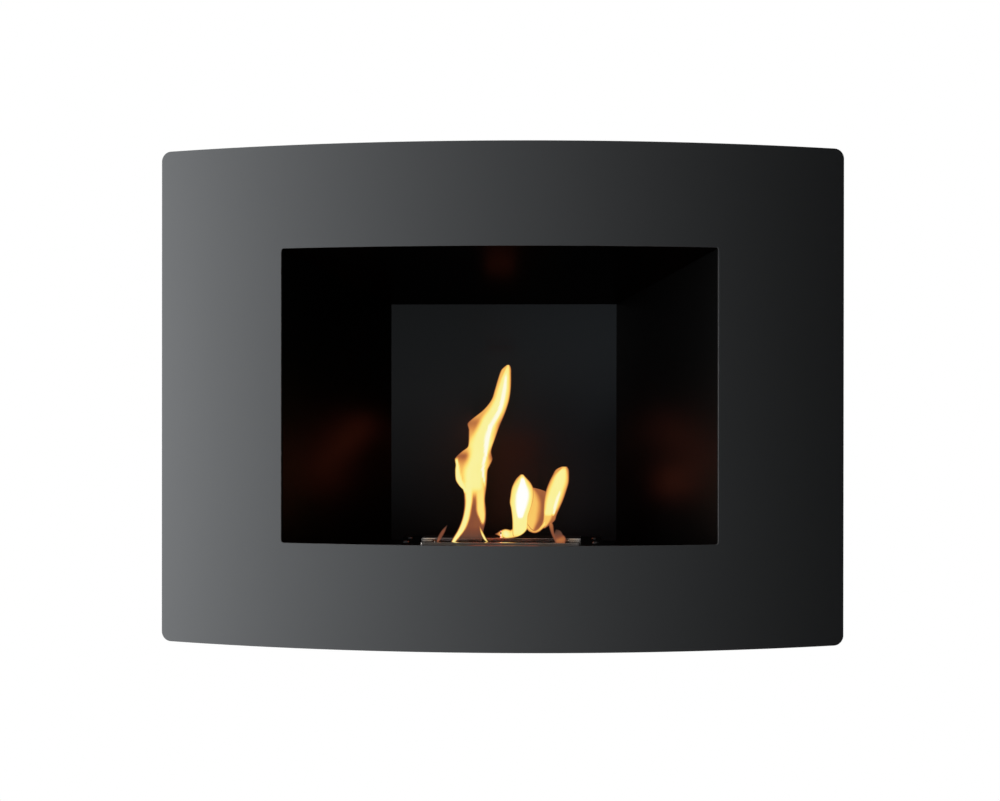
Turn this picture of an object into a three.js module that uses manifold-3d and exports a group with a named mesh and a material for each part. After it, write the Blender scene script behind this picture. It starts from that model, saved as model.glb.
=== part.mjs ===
// A wall-mounted bioethanol fireplace with a curved front panel, in millimetres.
// X runs to the right seen from the front, Y runs back into the wall and Z runs up.
// Every piece is drawn about the panel's centre line, with the wall at Y = 0. The whole is then
// moved down, so that the origin is the centre of the wall rail's face against the wall.

import * as THREE from 'three';
import { mergeVertices } from 'three/addons/utils/BufferGeometryUtils.js';
import Module from 'manifold-3d';

const wasm = await Module();
wasm.setup();

// Overall sizes
const panelWidth = 700;
const panelHeight = 505;
const overallDepth = 200; // from the wall to the front of the curve
const panelRise = 62; // how far the middle stands out in front of the side edges
const panelThickness = 2;
const panelCorner = 10;

// Opening in the panel
const sideBorder = 131; // from the panel's side to the opening
const endBorder = 104.5; // from the panel's top and bottom to an opening in the middle
const openingLift = 1; // the opening's centre above the panel's
const openingCorner = 3;

// Casing behind the panel
const sheet = 1.5;
const sideOverhang = 45; // the panel beyond the casing's side
const endOverhang = 37.5; // the panel beyond the casing's top and underside
const casingFlange = 14;
const backRecess = 12; // from the wall to the casing's back
const wallGap = 1.5; // from the wall to the casing's rear edges
const backCorner = 3;
const ventLength = 38;
const ventWidth = 5;
const ventPitch = 52;
const ventRow = 62; // from the wall to the row of vents
const ventCount = 9;

// Firebox
const floorDrop = 11; // the floor below the opening's lower edge
const holderRoom = 17.5; // from the holder's side to the firebox wall at the fireback
const hoodDrop = 47.5; // how far the hood comes down towards the back
const firebackThickness = 2;
const firebackLap = 14; // the fireback's margin behind the walls and the hood
const airGap = 12.5; // between the fireback and the casing's back
const wallFlange = 14;
const hoodFlange = 12;
const hoodNotch = 9; // the hood's side flanges start this far behind the panel
const shelfFlange = 15;

// Burner holder on the firebox floor
const holderMargin = 24; // the holder beyond each side of the burner
const holderDepth = 106;
const holderHeight = 7;
const holderCorner = 3;
const holderBackGap = 22; // from the fireback to the holder
const holderScrewInset = 8; // from the holder's side to its screws
const holderScrewPitch = 44;

// Burner
const burnerWidth = 164;
const burnerDepth = 80;
const burnerSheet = 1.5;
const burnerCorner = 3;
const slotInset = 11; // from the burner plate's side to the slot's
const slotDepth = 26;
const slotMargin = 8; // from the burner's front edge to its slot
const slotCorner = 3;
const tankInset = 6; // the tank's walls inside the burner plate's edges
const tankCorner = 6;
const tankFootGap = 8.5; // the tank above the casing's bottom sheet
const tankClearance = 1.5; // between the tank and the holder's cut-out
const screenDepth = 10.5; // the screen below the burner plate
const screenThickness = 1;
const screenHole = 6; // width of each hole
const screenPitch = 12;
const screenMargin = 4; // the least metal outside the holes

// Regulator lid and its pin
const lidLip = 3; // the closed lid beyond the slot's long edges
const lidThickness = 1.2;
const lidGap = 0.3; // between the lid and the burner plate and holder
const lidBend = 0.3;
const lidPark = 1; // the open lid's front edge behind the slot
const pinInset = 4; // from the lid's front edge to the pin
const pinHeight = 7.4;
const pinRadius = 1.1;
const pinShoulder = 2.1; // radius of the pin's shoulder on the lid
const pinShoulderHeight = 0.9;

// Panel brackets
const bracketWidth = 40;
const bracketSheet = 2;
const bracketFoot = 26;
const bracketUpright = 24;
const bracketInset = 85; // from the casing's side to the bracket's middle

// Wall rail, hangers and spacers
const railDrop = 65; // the rail's centre below the casing's top
const railLength = 380;
const railHeight = 40;
const railSheet = 2;
const railStep = 5; // how far the lip stands off the wall
const railLip = 13;
const railSlotLength = 14;
const railSlotWidth = 6;
const railSlotInset = 30; // from the rail's end to its outer slots
const railSlotSpan = 90; // from each outer slot to the inner one
const hangerWidth = 60;
const hangerReach = 44; // height of the hanger's plate
const hangerTongue = 11; // how far the tongue reaches down behind the lip
const hangerGap = 0.4; // between the tongue and the lip
const hangerBend = 0.6;
const hangerSpan = 260; // between the middles of the two hangers
const spacerRadius = 11;
const spacerChamfer = 1.5;
const spacerInset = 60; // from the casing's side to a spacer's middle
const spacerLift = 40; // from the casing's underside to a spacer's middle

// Fasteners
const rivetHead = 3.2;
const rivetDome = 1.2;
const rivetShank = 1.6;
const rivetBulb = 2.4;
const rivetTail = 1.3;
const screwHead = 3.6;
const screwDome = 2;
const screwShank = 2;
const screwEnd = 3;
const holeGap = 0.2;
const rivetSetback = 32; // the front casing rivets behind the side's front edge
const rivetInset = 18; // the rear casing rivets in front of the casing's back
const backRivetInset = 65; // the back's side rivets from the casing's top and underside
const shelfScrewFront = 36; // the front shelf screws behind the side's front edge
const shelfScrewRear = 30; // the rear shelf screws in front of the casing's back
const hangerRivetLow = 12; // from the foot of the hanger's plate
const hangerRivetPitch = 18;
const bracketScrewReach = 15; // from the panel to the bracket's screw

// Fits and steps
const fitGap = 0.3;
const bendRadius = 1;
const overrun = 5;
const weldDistance = 0.0005;
const panelSteps = 32;
const bendSteps = 3;
const cornerSteps = 3;
const roundSteps = 12;
const domeSteps = 2;

// Places worked out from the sizes
const frontY = -overallDepth;
const panelRadius = ((panelWidth / 2) ** 2 + panelRise ** 2) / (2 * panelRise);
const arcCentreY = frontY + panelRadius;
const arcStep = (2 * Math.asin(panelWidth / 2 / panelRadius)) / panelSteps;
const openingWidth = panelWidth - 2 * sideBorder;
const openingHeight = panelHeight - 2 * endBorder;
const openingTop = openingLift + openingHeight / 2;
const openingBottom = openingLift - openingHeight / 2;
const openingHalf = openingWidth / 2;
const casingHalf = panelWidth / 2 - sideOverhang;
const casingTop = panelHeight / 2 - endOverhang;
const casingBottom = -casingTop;
const backFaceY = -backRecess - sheet;
const firebackY = backFaceY - airGap - firebackThickness;
const holderWidth = burnerWidth + 2 * holderMargin;
const firebackHalf = holderWidth / 2 + holderRoom;
const floorTop = openingBottom - floorDrop;
const holderY = firebackY - holderBackGap - holderDepth / 2;
const holderTop = floorTop + holderHeight;
const tankWidth = burnerWidth - 2 * tankInset;
const tankDepth = burnerDepth - 2 * tankInset;
const slotWidth = burnerWidth - 2 * slotInset;
const railZ = casingTop - railDrop;
const sideFrontY = panelBackY(casingHalf);

const xAxis = new THREE.Vector3(1, 0, 0);
const yAxis = new THREE.Vector3(0, 1, 0);
const zAxis = new THREE.Vector3(0, 0, 1);

// Finishes
const panelPaint = finish('panel_paint', 0x4a4d4f, 0.45, 0.35);
const casingPaint = finish('casing_paint', 0x1c1d1e, 0.6, 0.2);
const fireboxPaint = finish('firebox_paint', 0x141516, 0.42, 0.2);
const stainless = finish('stainless', 0xb9b7b2, 0.28, 1);
const zinc = finish('zinc', 0x9ea3a8, 0.4, 0.9);
const blackened = finish('blackened_steel', 0x2b2b2d, 0.35, 0.8);
const wool = finish('ceramic_wool', 0xe9e6dd, 0.95, 0);
const rubber = finish('rubber', 0x1a1a1a, 0.85, 0);

function finish(name, color, roughness, metalness) {
  return new THREE.MeshStandardMaterial({ name, color, roughness, metalness });
}

// Y of the panel's rear face at a distance from the middle.
function panelBackY(x, clearance = 0) {
  const radius = panelRadius - panelThickness - clearance;
  return arcCentreY - Math.sqrt(radius ** 2 - x ** 2);
}

// Solids
function solidOf(geometry) {
  const bare = geometry.index ? geometry.toNonIndexed() : geometry;
  bare.deleteAttribute('normal');
  bare.deleteAttribute('uv');
  const merged = mergeVertices(bare, weldDistance);
  return new wasm.Manifold(new wasm.Mesh({
    numProp: 3,
    vertProperties: merged.attributes.position.array,
    triVerts: new Uint32Array(merged.index.array),
  }));
}

function geometryOf(solid) {
  const { vertProperties, numProp, triVerts } = solid.getMesh();
  const geometry = new THREE.BufferGeometry();
  geometry.setAttribute('position', new THREE.BufferAttribute(vertProperties.slice(), numProp));
  geometry.setIndex(new THREE.BufferAttribute(triVerts.slice(), 1));
  geometry.computeVertexNormals();
  return geometry;
}

function extrusion(shape, low, high) {
  const options = { depth: high - low, bevelEnabled: false, curveSegments: cornerSteps };
  return new THREE.ExtrudeGeometry(shape, options).translate(0, 0, low);
}

// A bar along X, of a section drawn in Y and Z.
function barX(section, low, high) {
  const turn = new THREE.Matrix4().makeBasis(yAxis, zAxis, xAxis);
  return solidOf(extrusion(section, low, high).applyMatrix4(turn));
}

// A bar along Y, of a section drawn in X and Z.
function barY(section, low, high) {
  const turn = new THREE.Matrix4().makeBasis(xAxis, zAxis, yAxis.clone().negate());
  return solidOf(extrusion(section, -high, -low).applyMatrix4(turn));
}

// A bar along Z, of a section drawn in X and Y.
function barZ(section, low, high) {
  return solidOf(extrusion(section, low, high));
}

function box(x0, x1, y0, y1, z0, z1) {
  const block = new THREE.BoxGeometry(x1 - x0, y1 - y0, z1 - z0);
  return solidOf(block.translate((x0 + x1) / 2, (y0 + y1) / 2, (z0 + z1) / 2));
}

// A solid turned about the Y axis from a profile of radius and height.
function turned(profile) {
  const points = profile.map(([radius, height]) => new THREE.Vector2(radius, height));
  return solidOf(new THREE.LatheGeometry(points, roundSteps));
}

// Sections
function polygon(points) {
  return new THREE.Shape(points.map(([u, v]) => new THREE.Vector2(u, v)));
}

function roundedRectangle(width, height, radius, u = 0, v = 0) {
  const half = width / 2 - radius;
  const rise = height / 2 - radius;
  const quarter = Math.PI / 2;
  const shape = new THREE.Shape();
  shape.absarc(u + half, v + rise, radius, 0, quarter);
  shape.absarc(u - half, v + rise, radius, quarter, 2 * quarter);
  shape.absarc(u - half, v - rise, radius, 2 * quarter, 3 * quarter);
  shape.absarc(u + half, v - rise, radius, 3 * quarter, 4 * quarter);
  return shape;
}

function slotSection(length, width, u, v) {
  const run = (length - width) / 2;
  const quarter = Math.PI / 2;
  const shape = new THREE.Shape();
  shape.absarc(u + run, v, width / 2, -quarter, quarter);
  shape.absarc(u - run, v, width / 2, quarter, 3 * quarter);
  return shape;
}

// A folded sheet seen on edge. The corners lie on one of its faces, and hand is 1 where the sheet
// lies on the left of the path and -1 where it lies on the right. A fold that has no room for its
// radius is left sharp.
function foldedSheet(corners, thickness, bend, hand) {
  const path = corners.map(([u, v]) => new THREE.Vector2(u, v));
  const near = [];
  const far = [];
  const left = (direction) => new THREE.Vector2(-direction.y, direction.x);
  const heading = (i) => path[i + 1].clone().sub(path[i]).normalize();
  const put = (point, normal, reach) => {
    near.push(point);
    far.push(point.clone().addScaledVector(normal, reach));
  };
  put(path[0], left(heading(0)), hand * thickness);
  for (let i = 1; i < path.length - 1; i += 1) {
    const before = heading(i - 1);
    const after = heading(i);
    const angle = Math.atan2(before.cross(after), before.dot(after));
    const side = Math.sign(angle);
    const spread = Math.tan(Math.abs(angle) / 2);
    const inside = side === hand;
    const radius = inside ? bend + thickness : bend;
    const room = Math.min(path[i].distanceTo(path[i - 1]), path[i + 1].distanceTo(path[i])) / 2;
    if (radius * spread > room) {
      const mitre = left(before).add(left(after)).normalize();
      put(path[i], mitre, (hand * thickness) / Math.cos(angle / 2));
      continue;
    }
    const start = path[i].clone().addScaledVector(before, -radius * spread);
    const centre = start.clone().addScaledVector(left(before), side * radius);
    for (let step = 0; step <= bendSteps; step += 1) {
      const spoke = left(before).rotateAround(new THREE.Vector2(), (angle * step) / bendSteps);
      const point = centre.clone().addScaledVector(spoke, -side * radius);
      put(point, spoke, hand * thickness);
    }
  }
  put(path[path.length - 1], left(heading(path.length - 2)), hand * thickness);
  return new THREE.Shape([...near, ...far.reverse()]);
}

// The panel's curve
function arcPoints(radius, steps) {
  const points = [];
  for (let i = -steps; i <= steps; i += 1) {
    points.push([radius * Math.sin(i * arcStep), arcCentreY - radius * Math.cos(i * arcStep)]);
  }
  return points;
}

// All the space behind the panel's rear face, less a clearance.
function behindPanel(clearance) {
  const radius = panelRadius - panelThickness - clearance;
  const steps = Math.ceil(Math.asin((casingHalf + overrun) / radius) / arcStep);
  const arc = arcPoints(radius, steps);
  const end = arc[arc.length - 1][0];
  const plan = polygon([...arc, [end, overrun], [-end, overrun]]);
  return barZ(plan, casingBottom - overrun, casingTop + overrun);
}

const roomBehind = behindPanel(fitGap);

// Fasteners. A place is a point on the outer surface and the direction in which the head looks.
function place(name, point, outward) {
  return { name, point: new THREE.Vector3(...point), outward };
}

function dome(radius, height) {
  const points = [];
  for (let step = 0; step <= domeSteps; step += 1) {
    const angle = (step / domeSteps) * (Math.PI / 2);
    points.push([radius * Math.cos(angle), height * Math.sin(angle)]);
  }
  points[domeSteps][0] = 0;
  return points;
}

function rivetSolid(grip) {
  return turned([
    [0, -grip - rivetTail],
    [rivetShank, -grip - rivetTail],
    [rivetBulb, -grip],
    [rivetShank, -grip],
    [rivetShank, 0],
    ...dome(rivetHead, rivetDome),
  ]);
}

function screwSolid(grip) {
  return turned([
    [0, -grip - screwEnd],
    [screwShank, -grip - screwEnd],
    [screwShank, 0],
    ...dome(screwHead, screwDome),
  ]);
}

function fastener(spot, solid, material) {
  const mesh = new THREE.Mesh(geometryOf(solid), material);
  mesh.name = spot.name;
  mesh.quaternion.setFromUnitVectors(yAxis, spot.outward);
  mesh.position.copy(spot.point);
  return mesh;
}

// Takes a hole at each place out of a sheet, from the head's side to a depth.
function drilled(solid, spots, shank, depth) {
  const radius = shank + holeGap;
  return spots.reduce((rest, spot) => {
    const drill = new THREE.CylinderGeometry(radius, radius, depth + overrun, roundSteps);
    drill.translate(0, (overrun - depth) / 2, 0);
    drill.applyQuaternion(new THREE.Quaternion().setFromUnitVectors(yAxis, spot.outward));
    drill.translate(spot.point.x, spot.point.y, spot.point.z);
    return rest.subtract(solidOf(drill));
  }, solid);
}

const sides = [
  { name: 'left', sign: -1 },
  { name: 'right', sign: 1 },
];
const levels = [
  { name: 'top', sign: 1, z: casingTop },
  { name: 'bottom', sign: -1, z: casingBottom },
];
const ends = ['front', 'rear'];

function casingRivets() {
  const x = casingHalf - sheet - casingFlange / 2;
  const y = { front: sideFrontY + rivetSetback, rear: backFaceY - rivetInset };
  return levels.flatMap((level) => sides.flatMap((side) => ends.map((end) => place(
    `casing_rivet_${level.name}_${side.name}_${end}`,
    [side.sign * x, y[end], level.z],
    zAxis.clone().multiplyScalar(level.sign),
  ))));
}

function backRivets() {
  const y = -(backRecess + wallGap) / 2;
  return levels.flatMap((level) => sides.map((side) => place(
    `back_rivet_${level.name}_${side.name}`,
    [side.sign * casingHalf, y, level.z - level.sign * backRivetInset],
    xAxis.clone().multiplyScalar(side.sign),
  )));
}

function shelfScrews() {
  const z = floorTop - shelfFlange / 2;
  const y = { front: sideFrontY + shelfScrewFront, rear: backFaceY - shelfScrewRear };
  return sides.flatMap((side) => ends.map((end) => place(
    `shelf_screw_${side.name}_${end}`,
    [side.sign * casingHalf, y[end], z],
    xAxis.clone().multiplyScalar(side.sign),
  )));
}

function panelScrews() {
  const x = casingHalf - bracketInset;
  return levels.flatMap((level) => sides.map((side) => place(
    `panel_screw_${level.name}_${side.name}`,
    [side.sign * x, panelBackY(x) + bracketScrewReach, level.z],
    zAxis.clone().multiplyScalar(level.sign),
  )));
}

function holderScrews() {
  const x = holderWidth / 2 - holderScrewInset;
  const y = { front: holderY - holderScrewPitch / 2, rear: holderY + holderScrewPitch / 2 };
  return sides.flatMap((side) => ends.map((end) => place(
    `holder_screw_${side.name}_${end}`,
    [side.sign * x, y[end], holderTop],
    zAxis,
  )));
}

// The hangers' rivets have their heads towards the wall.
function hangerRivets() {
  const foot = hangerTop() - hangerReach + hangerRivetLow;
  const z = { upper: foot + hangerRivetPitch, lower: foot };
  return sides.flatMap((side) => Object.keys(z).map((rank) => place(
    `hanger_rivet_${side.name}_${rank}`,
    [(side.sign * hangerSpan) / 2, railSheet - backRecess, z[rank]],
    yAxis,
  )));
}

// Front panel: one sheet rolled to a shallow curve, with rounded corners and the opening.
function frontPanel() {
  const steps = panelSteps / 2 + 1;
  const outer = arcPoints(panelRadius, steps);
  const inner = arcPoints(panelRadius - panelThickness, steps);
  const rolled = barZ(polygon([...outer, ...inner.reverse()]), -panelHeight, panelHeight);
  const outline = roundedRectangle(panelWidth, panelHeight, panelCorner);
  const opening = roundedRectangle(openingWidth, openingHeight, openingCorner, 0, openingLift);
  const front = frontY - overrun;
  return rolled.intersect(barY(outline, front, 0)).subtract(barY(opening, front, 0));
}

// Bracket on the panel's rear face, with a foot against the casing's top or bottom sheet.
function panelBracket(side, level) {
  const x = side.sign * (casingHalf - bracketInset);
  const low = x - bracketWidth / 2;
  const high = x + bracketWidth / 2;
  const seat = level.z - level.sign * sheet;
  const [footLow, footHigh] = [seat, seat - level.sign * bracketSheet].sort((a, b) => a - b);
  const [backLow, backHigh] = [seat, seat - level.sign * bracketUpright].sort((a, b) => a - b);
  const reach = panelBackY(Math.abs(x)) + bracketFoot;
  const foot = box(low, high, frontY, reach, footLow, footHigh).intersect(roomBehind);
  const curved = roomBehind.subtract(behindPanel(fitGap + bracketSheet));
  const upright = box(low, high, frontY, reach, backLow, backHigh).intersect(curved);
  return drilled(foot.add(upright), panelScrews(), screwShank, 2 * overrun);
}

// Casing top and bottom: flat sheets with a curved front edge and a row of air slots.
function casingPlate(level) {
  const [low, high] = [level.z, level.z - level.sign * sheet].sort((a, b) => a - b);
  let plate = box(-casingHalf, casingHalf, frontY, -wallGap, low, high).intersect(roomBehind);
  for (let i = 0; i < ventCount; i += 1) {
    const x = (i - (ventCount - 1) / 2) * ventPitch;
    const vent = slotSection(ventLength, ventWidth, x, -ventRow);
    plate = plate.subtract(barZ(vent, low - overrun, high + overrun));
  }
  plate = drilled(plate, casingRivets(), rivetShank, 2 * overrun);
  return drilled(plate, panelScrews(), screwShank, 2 * overrun);
}

// Casing side: a web with flanges turned in under the top sheet and over the bottom one.
function casingSide(side) {
  const outer = side.sign * casingHalf;
  const inner = side.sign * (casingHalf - casingFlange - sheet);
  const top = casingTop - sheet;
  const bottom = casingBottom + sheet;
  const path = [[inner, bottom], [outer, bottom], [outer, top], [inner, top]];
  const section = foldedSheet(path, sheet, bendRadius, side.sign);
  const channel = barY(section, frontY, -wallGap).intersect(roomBehind);
  const webFace = side.sign * (casingHalf - sheet);
  const [low, high] = [webFace, inner - side.sign * overrun].sort((a, b) => a - b);
  const cut = box(low, high, backFaceY - fitGap, overrun, casingBottom, casingTop);
  const drilledSide = drilled(channel.subtract(cut), casingRivets(), rivetShank, 2 * overrun);
  const withBack = drilled(drilledSide, backRivets(), rivetShank, 2 * overrun);
  return drilled(withBack, shelfScrews(), screwShank, 2 * overrun);
}

// Casing back: a shallow tray, open to the wall, in which the rail and the hangers lie.
function casingBack() {
  const width = 2 * (casingHalf - sheet - fitGap);
  const height = casingTop - casingBottom - 2 * (sheet + fitGap);
  const middle = (casingTop + casingBottom) / 2;
  const outer = roundedRectangle(width, height, backCorner, 0, middle);
  const inset = 2 * sheet;
  const inner = roundedRectangle(width - inset, height - inset, backCorner - sheet, 0, middle);
  const tray = barY(outer, backFaceY, -wallGap).subtract(barY(inner, -backRecess, overrun));
  const withSides = drilled(tray, backRivets(), rivetShank, 2 * overrun);
  return drilled(withSides, hangerRivets(), rivetShank, 2 * overrun);
}

// Firebox floor: a shelf across the casing with its sides turned down, and the burner's cut-out.
function fireboxFloor() {
  const half = casingHalf - sheet - fitGap;
  const foot = floorTop - shelfFlange;
  const path = [[-half, foot], [-half, floorTop], [half, floorTop], [half, foot]];
  const section = foldedSheet(path, sheet, bendRadius, -1);
  const shelf = barY(section, frontY, backFaceY - fitGap).intersect(roomBehind);
  const cutOut = barZ(tankCutOut(), floorTop - shelfFlange, holderTop);
  const withHolder = drilled(shelf.subtract(cutOut), holderScrews(), screwShank, 2 * shelfFlange);
  return drilled(withHolder, shelfScrews(), screwShank, 2 * overrun);
}

function tankCutOut() {
  const width = tankWidth + 2 * tankClearance;
  const depth = tankDepth + 2 * tankClearance;
  return roundedRectangle(width, depth, tankCorner, 0, holderY);
}

// The firebox walls' line in plan, from the panel's rear face to the fireback.
const wallStart = new THREE.Vector2(openingHalf, panelBackY(openingHalf, fitGap));
const wallEnd = new THREE.Vector2(firebackHalf, firebackY);
const wallHeading = wallEnd.clone().sub(wallStart).normalize();
const wallOutward = new THREE.Vector2(wallHeading.y, -wallHeading.x);

// A point by its distance along the wall's line and its distance outside it.
function wallPoint(along, outside, side) {
  const point = wallStart.clone().addScaledVector(wallHeading, along);
  point.addScaledVector(wallOutward, outside);
  return [side.sign * point.x, point.y];
}

// Z of the hood's lower face.
function hoodZ(y) {
  return openingTop - (hoodDrop * (y - wallStart.y)) / (wallEnd.y - wallStart.y);
}

// A slab that follows the hood, between two heights above its lower face.
function hoodSlab(low, high) {
  const front = frontY - overrun;
  const rear = firebackY - fitGap;
  const section = polygon([
    [front, hoodZ(front) + low],
    [rear, hoodZ(rear) + low],
    [rear, hoodZ(rear) + high],
    [front, hoodZ(front) + high],
  ]);
  return barX(section, -casingHalf, casingHalf);
}

// Firebox side wall: a splayed sheet with a flange turned out along the panel's rear face.
function fireboxWall(side) {
  const tangent = Math.asin(wallStart.x / (panelRadius - panelThickness - fitGap));
  const flangeEnd = [
    side.sign * (wallStart.x + wallFlange * Math.cos(tangent)),
    wallStart.y + wallFlange * Math.sin(tangent),
  ];
  const length = wallStart.distanceTo(wallEnd);
  const path = [flangeEnd, wallPoint(0, 0, side), wallPoint(length + overrun, 0, side)];
  const section = foldedSheet(path, sheet, bendRadius, -side.sign);
  const standing = barZ(section, floorTop, casingTop).intersect(roomBehind);
  const behind = box(-casingHalf, casingHalf, firebackY - fitGap, 0, floorTop, casingTop);
  const above = hoodSlab(-fitGap, casingTop - floorTop);
  return standing.subtract(behind).subtract(above);
}

// Hood: a sloping sheet on the side walls, with flanges turned down outside them.
function fireboxHood() {
  const length = wallStart.distanceTo(wallEnd);
  const inside = sheet + fitGap;
  const outside = inside + sheet;
  const [left, right] = sides;
  const plan = polygon([
    wallPoint(-overrun, outside, left),
    wallPoint(length + overrun, outside, left),
    wallPoint(length + overrun, outside, right),
    wallPoint(-overrun, outside, right),
    [0, frontY],
  ]);
  const thickness = sheet / Math.cos(Math.atan2(hoodDrop, wallEnd.y - wallStart.y));
  const slope = hoodSlab(0, thickness);
  const flanges = sides.map((side) => barZ(polygon([
    wallPoint(hoodNotch, inside, side),
    wallPoint(length + overrun, inside, side),
    wallPoint(length + overrun, outside, side),
    wallPoint(hoodNotch, outside, side),
  ]), floorTop, casingTop).intersect(hoodSlab(-hoodFlange, thickness)));
  const sloping = slope.intersect(barZ(plan, floorTop, casingTop));
  return flanges.reduce((hood, flange) => hood.add(flange), sloping).intersect(roomBehind);
}

// Fireback: a flat plate that stands on the floor behind the walls and the hood.
function fireback() {
  const half = firebackHalf + firebackLap;
  const top = openingTop - hoodDrop + firebackLap;
  return box(-half, half, firebackY, firebackY + firebackThickness, floorTop, top);
}

// Burner holder: a low tray turned upside down on the floor, with the tank's cut-out.
function burnerHolder() {
  const inset = 2 * sheet;
  const outer = roundedRectangle(holderWidth, holderDepth, holderCorner, 0, holderY);
  const inner = roundedRectangle(
    holderWidth - inset,
    holderDepth - inset,
    holderCorner - sheet,
    0,
    holderY,
  );
  const tray = barZ(outer, floorTop, holderTop)
    .subtract(barZ(inner, floorTop - overrun, holderTop - sheet))
    .subtract(barZ(tankCutOut(), floorTop, holderTop + overrun));
  return drilled(tray, holderScrews(), screwShank, holderHeight);
}

// The burner is drawn about the middle of the holder's top face, which its plate rests on.
const tankFoot = casingBottom + sheet + tankFootGap - holderTop;
const slotMiddle = -burnerDepth / 2 + slotMargin + slotDepth / 2;
const screenHigh = -screenDepth;
const screenLow = screenHigh - screenThickness;
const lidLow = burnerSheet + lidGap;
const lidFront = slotMiddle + slotDepth / 2 + lidPark;

// Burner tank: a welded box, open at the top.
function burnerTank() {
  const inset = 2 * burnerSheet;
  const outer = roundedRectangle(tankWidth, tankDepth, tankCorner);
  const inner = roundedRectangle(tankWidth - inset, tankDepth - inset, tankCorner - burnerSheet);
  return barZ(outer, tankFoot, 0).subtract(barZ(inner, tankFoot + burnerSheet, overrun));
}

// Burner plate: the tank's cover and flange, with the slot that the flames stand in.
function burnerPlate() {
  const outline = roundedRectangle(burnerWidth, burnerDepth, burnerCorner);
  const slot = roundedRectangle(slotWidth, slotDepth, slotCorner, 0, slotMiddle);
  return barZ(outline, 0, burnerSheet).subtract(barZ(slot, -overrun, overrun));
}

// Regulator lid, drawn open behind the slot: a sheet turned down over the plate's sides.
function regulatorLid() {
  const inner = burnerWidth / 2 + lidGap;
  const path = [[-inner, lidGap], [-inner, lidLow], [inner, lidLow], [inner, lidGap]];
  const rear = lidFront + slotDepth + 2 * lidLip;
  const lid = barY(foldedSheet(path, lidThickness, lidBend, 1), lidFront, rear);
  return drilled(lid, [lidPinPlace()], pinRadius, lidThickness);
}

function lidPinPlace() {
  return place('lid_pin', [0, lidFront + pinInset, lidLow + lidThickness], zAxis);
}

// Lid pin: the turned stud that a hooked rod moves the lid by.
function lidPinSolid() {
  return turned([
    [0, -lidThickness],
    [pinRadius, -lidThickness],
    [pinRadius, 0],
    [pinShoulder, 0],
    [pinShoulder, pinShoulderHeight],
    [pinRadius, pinShoulderHeight],
    [pinRadius, pinHeight],
    [0, pinHeight],
  ]);
}

// Wool pad: the ceramic wool that soaks up the fuel.
function woolPad() {
  const inset = 2 * (burnerSheet + fitGap);
  const corner = tankCorner - burnerSheet;
  const outline = roundedRectangle(tankWidth - inset, tankDepth - inset, corner);
  return barZ(outline, tankFoot + burnerSheet + fitGap, screenLow - fitGap);
}

// Wool screen: a perforated plate that keeps the pad down.
function woolScreen() {
  const inset = 2 * (burnerSheet + fitGap);
  const width = tankWidth - inset;
  const depth = tankDepth - inset;
  const outline = roundedRectangle(width, depth, tankCorner - burnerSheet);
  const screen = barZ(outline, screenLow, screenHigh);
  const holes = holeRow(width).flatMap((x) => holeRow(depth).map((y) => {
    const hole = new THREE.Shape().absarc(x, y, screenHole / 2, 0, 2 * Math.PI);
    return barZ(hole, screenLow - overrun, screenHigh + overrun);
  }));
  return holes.reduce((rest, hole) => rest.subtract(hole), screen);
}

// The middles of as many holes as fit across the screen.
function holeRow(across) {
  const count = 1 + Math.floor((across - screenHole - 2 * screenMargin) / screenPitch);
  return Array.from({ length: count }, (_, i) => (i - (count - 1) / 2) * screenPitch);
}

// Height of the hangers' top face, with the web resting on the rail's lip.
function hangerTop() {
  return railZ + railHeight / 2 + railStep + railLip + fitGap + railSheet;
}

// Wall rail, drawn about its own centre: a strip on the wall, stepped forward to an upright lip.
function wallRail() {
  const half = railHeight / 2;
  const path = [[0, -half], [0, half], [-railStep, half + railStep]];
  path.push([-railStep, half + railStep + railLip]);
  let rail = barX(foldedSheet(path, railSheet, bendRadius, 1), -railLength / 2, railLength / 2);
  const outer = railLength / 2 - railSlotInset;
  for (const x of [-outer, railSlotSpan - outer, outer - railSlotSpan, outer]) {
    const slot = slotSection(railSlotLength, railSlotWidth, x, 0);
    rail = rail.subtract(barY(slot, -railStep - railSheet - overrun, overrun));
  }
  return rail;
}

// Hanger: a hook on the casing's back whose tongue drops in behind the rail's lip.
function hanger(side) {
  const top = hangerTop();
  const tongue = hangerGap - railStep + railSheet;
  const foot = top - railSheet - fitGap - hangerTongue;
  const path = [[-backRecess, top - hangerReach], [-backRecess, top], [tongue, top], [tongue, foot]];
  const middle = (side.sign * hangerSpan) / 2;
  const section = foldedSheet(path, railSheet, hangerBend, -1);
  const hook = barX(section, middle - hangerWidth / 2, middle + hangerWidth / 2);
  return drilled(hook, hangerRivets(), rivetShank, 2 * railSheet);
}

// Spacer: a rubber buffer between the casing's back and the wall.
function spacer() {
  return turned([
    [0, 0],
    [spacerRadius, 0],
    [spacerRadius, backRecess - spacerChamfer],
    [spacerRadius - spacerChamfer, backRecess],
    [0, backRecess],
  ]);
}

// Assembly
function piece(name, solid, material) {
  const mesh = new THREE.Mesh(geometryOf(solid), material);
  mesh.name = name;
  return mesh;
}

function group(...members) {
  const made = new THREE.Group();
  members.flat().forEach((member) => made.add(member));
  return made;
}

function rivets(spots, grip, material) {
  return spots.map((spot) => fastener(spot, rivetSolid(grip), material));
}

function screws(spots, grip, material) {
  return spots.map((spot) => fastener(spot, screwSolid(grip), material));
}

function panelAssembly() {
  const brackets = levels.flatMap((level) => sides.map((side) => piece(
    `panel_bracket_${level.name}_${side.name}`,
    panelBracket(side, level),
    casingPaint,
  )));
  const fixings = screws(panelScrews(), sheet + bracketSheet, zinc);
  return group(piece('front_panel', frontPanel(), panelPaint), brackets, fixings);
}

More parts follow.
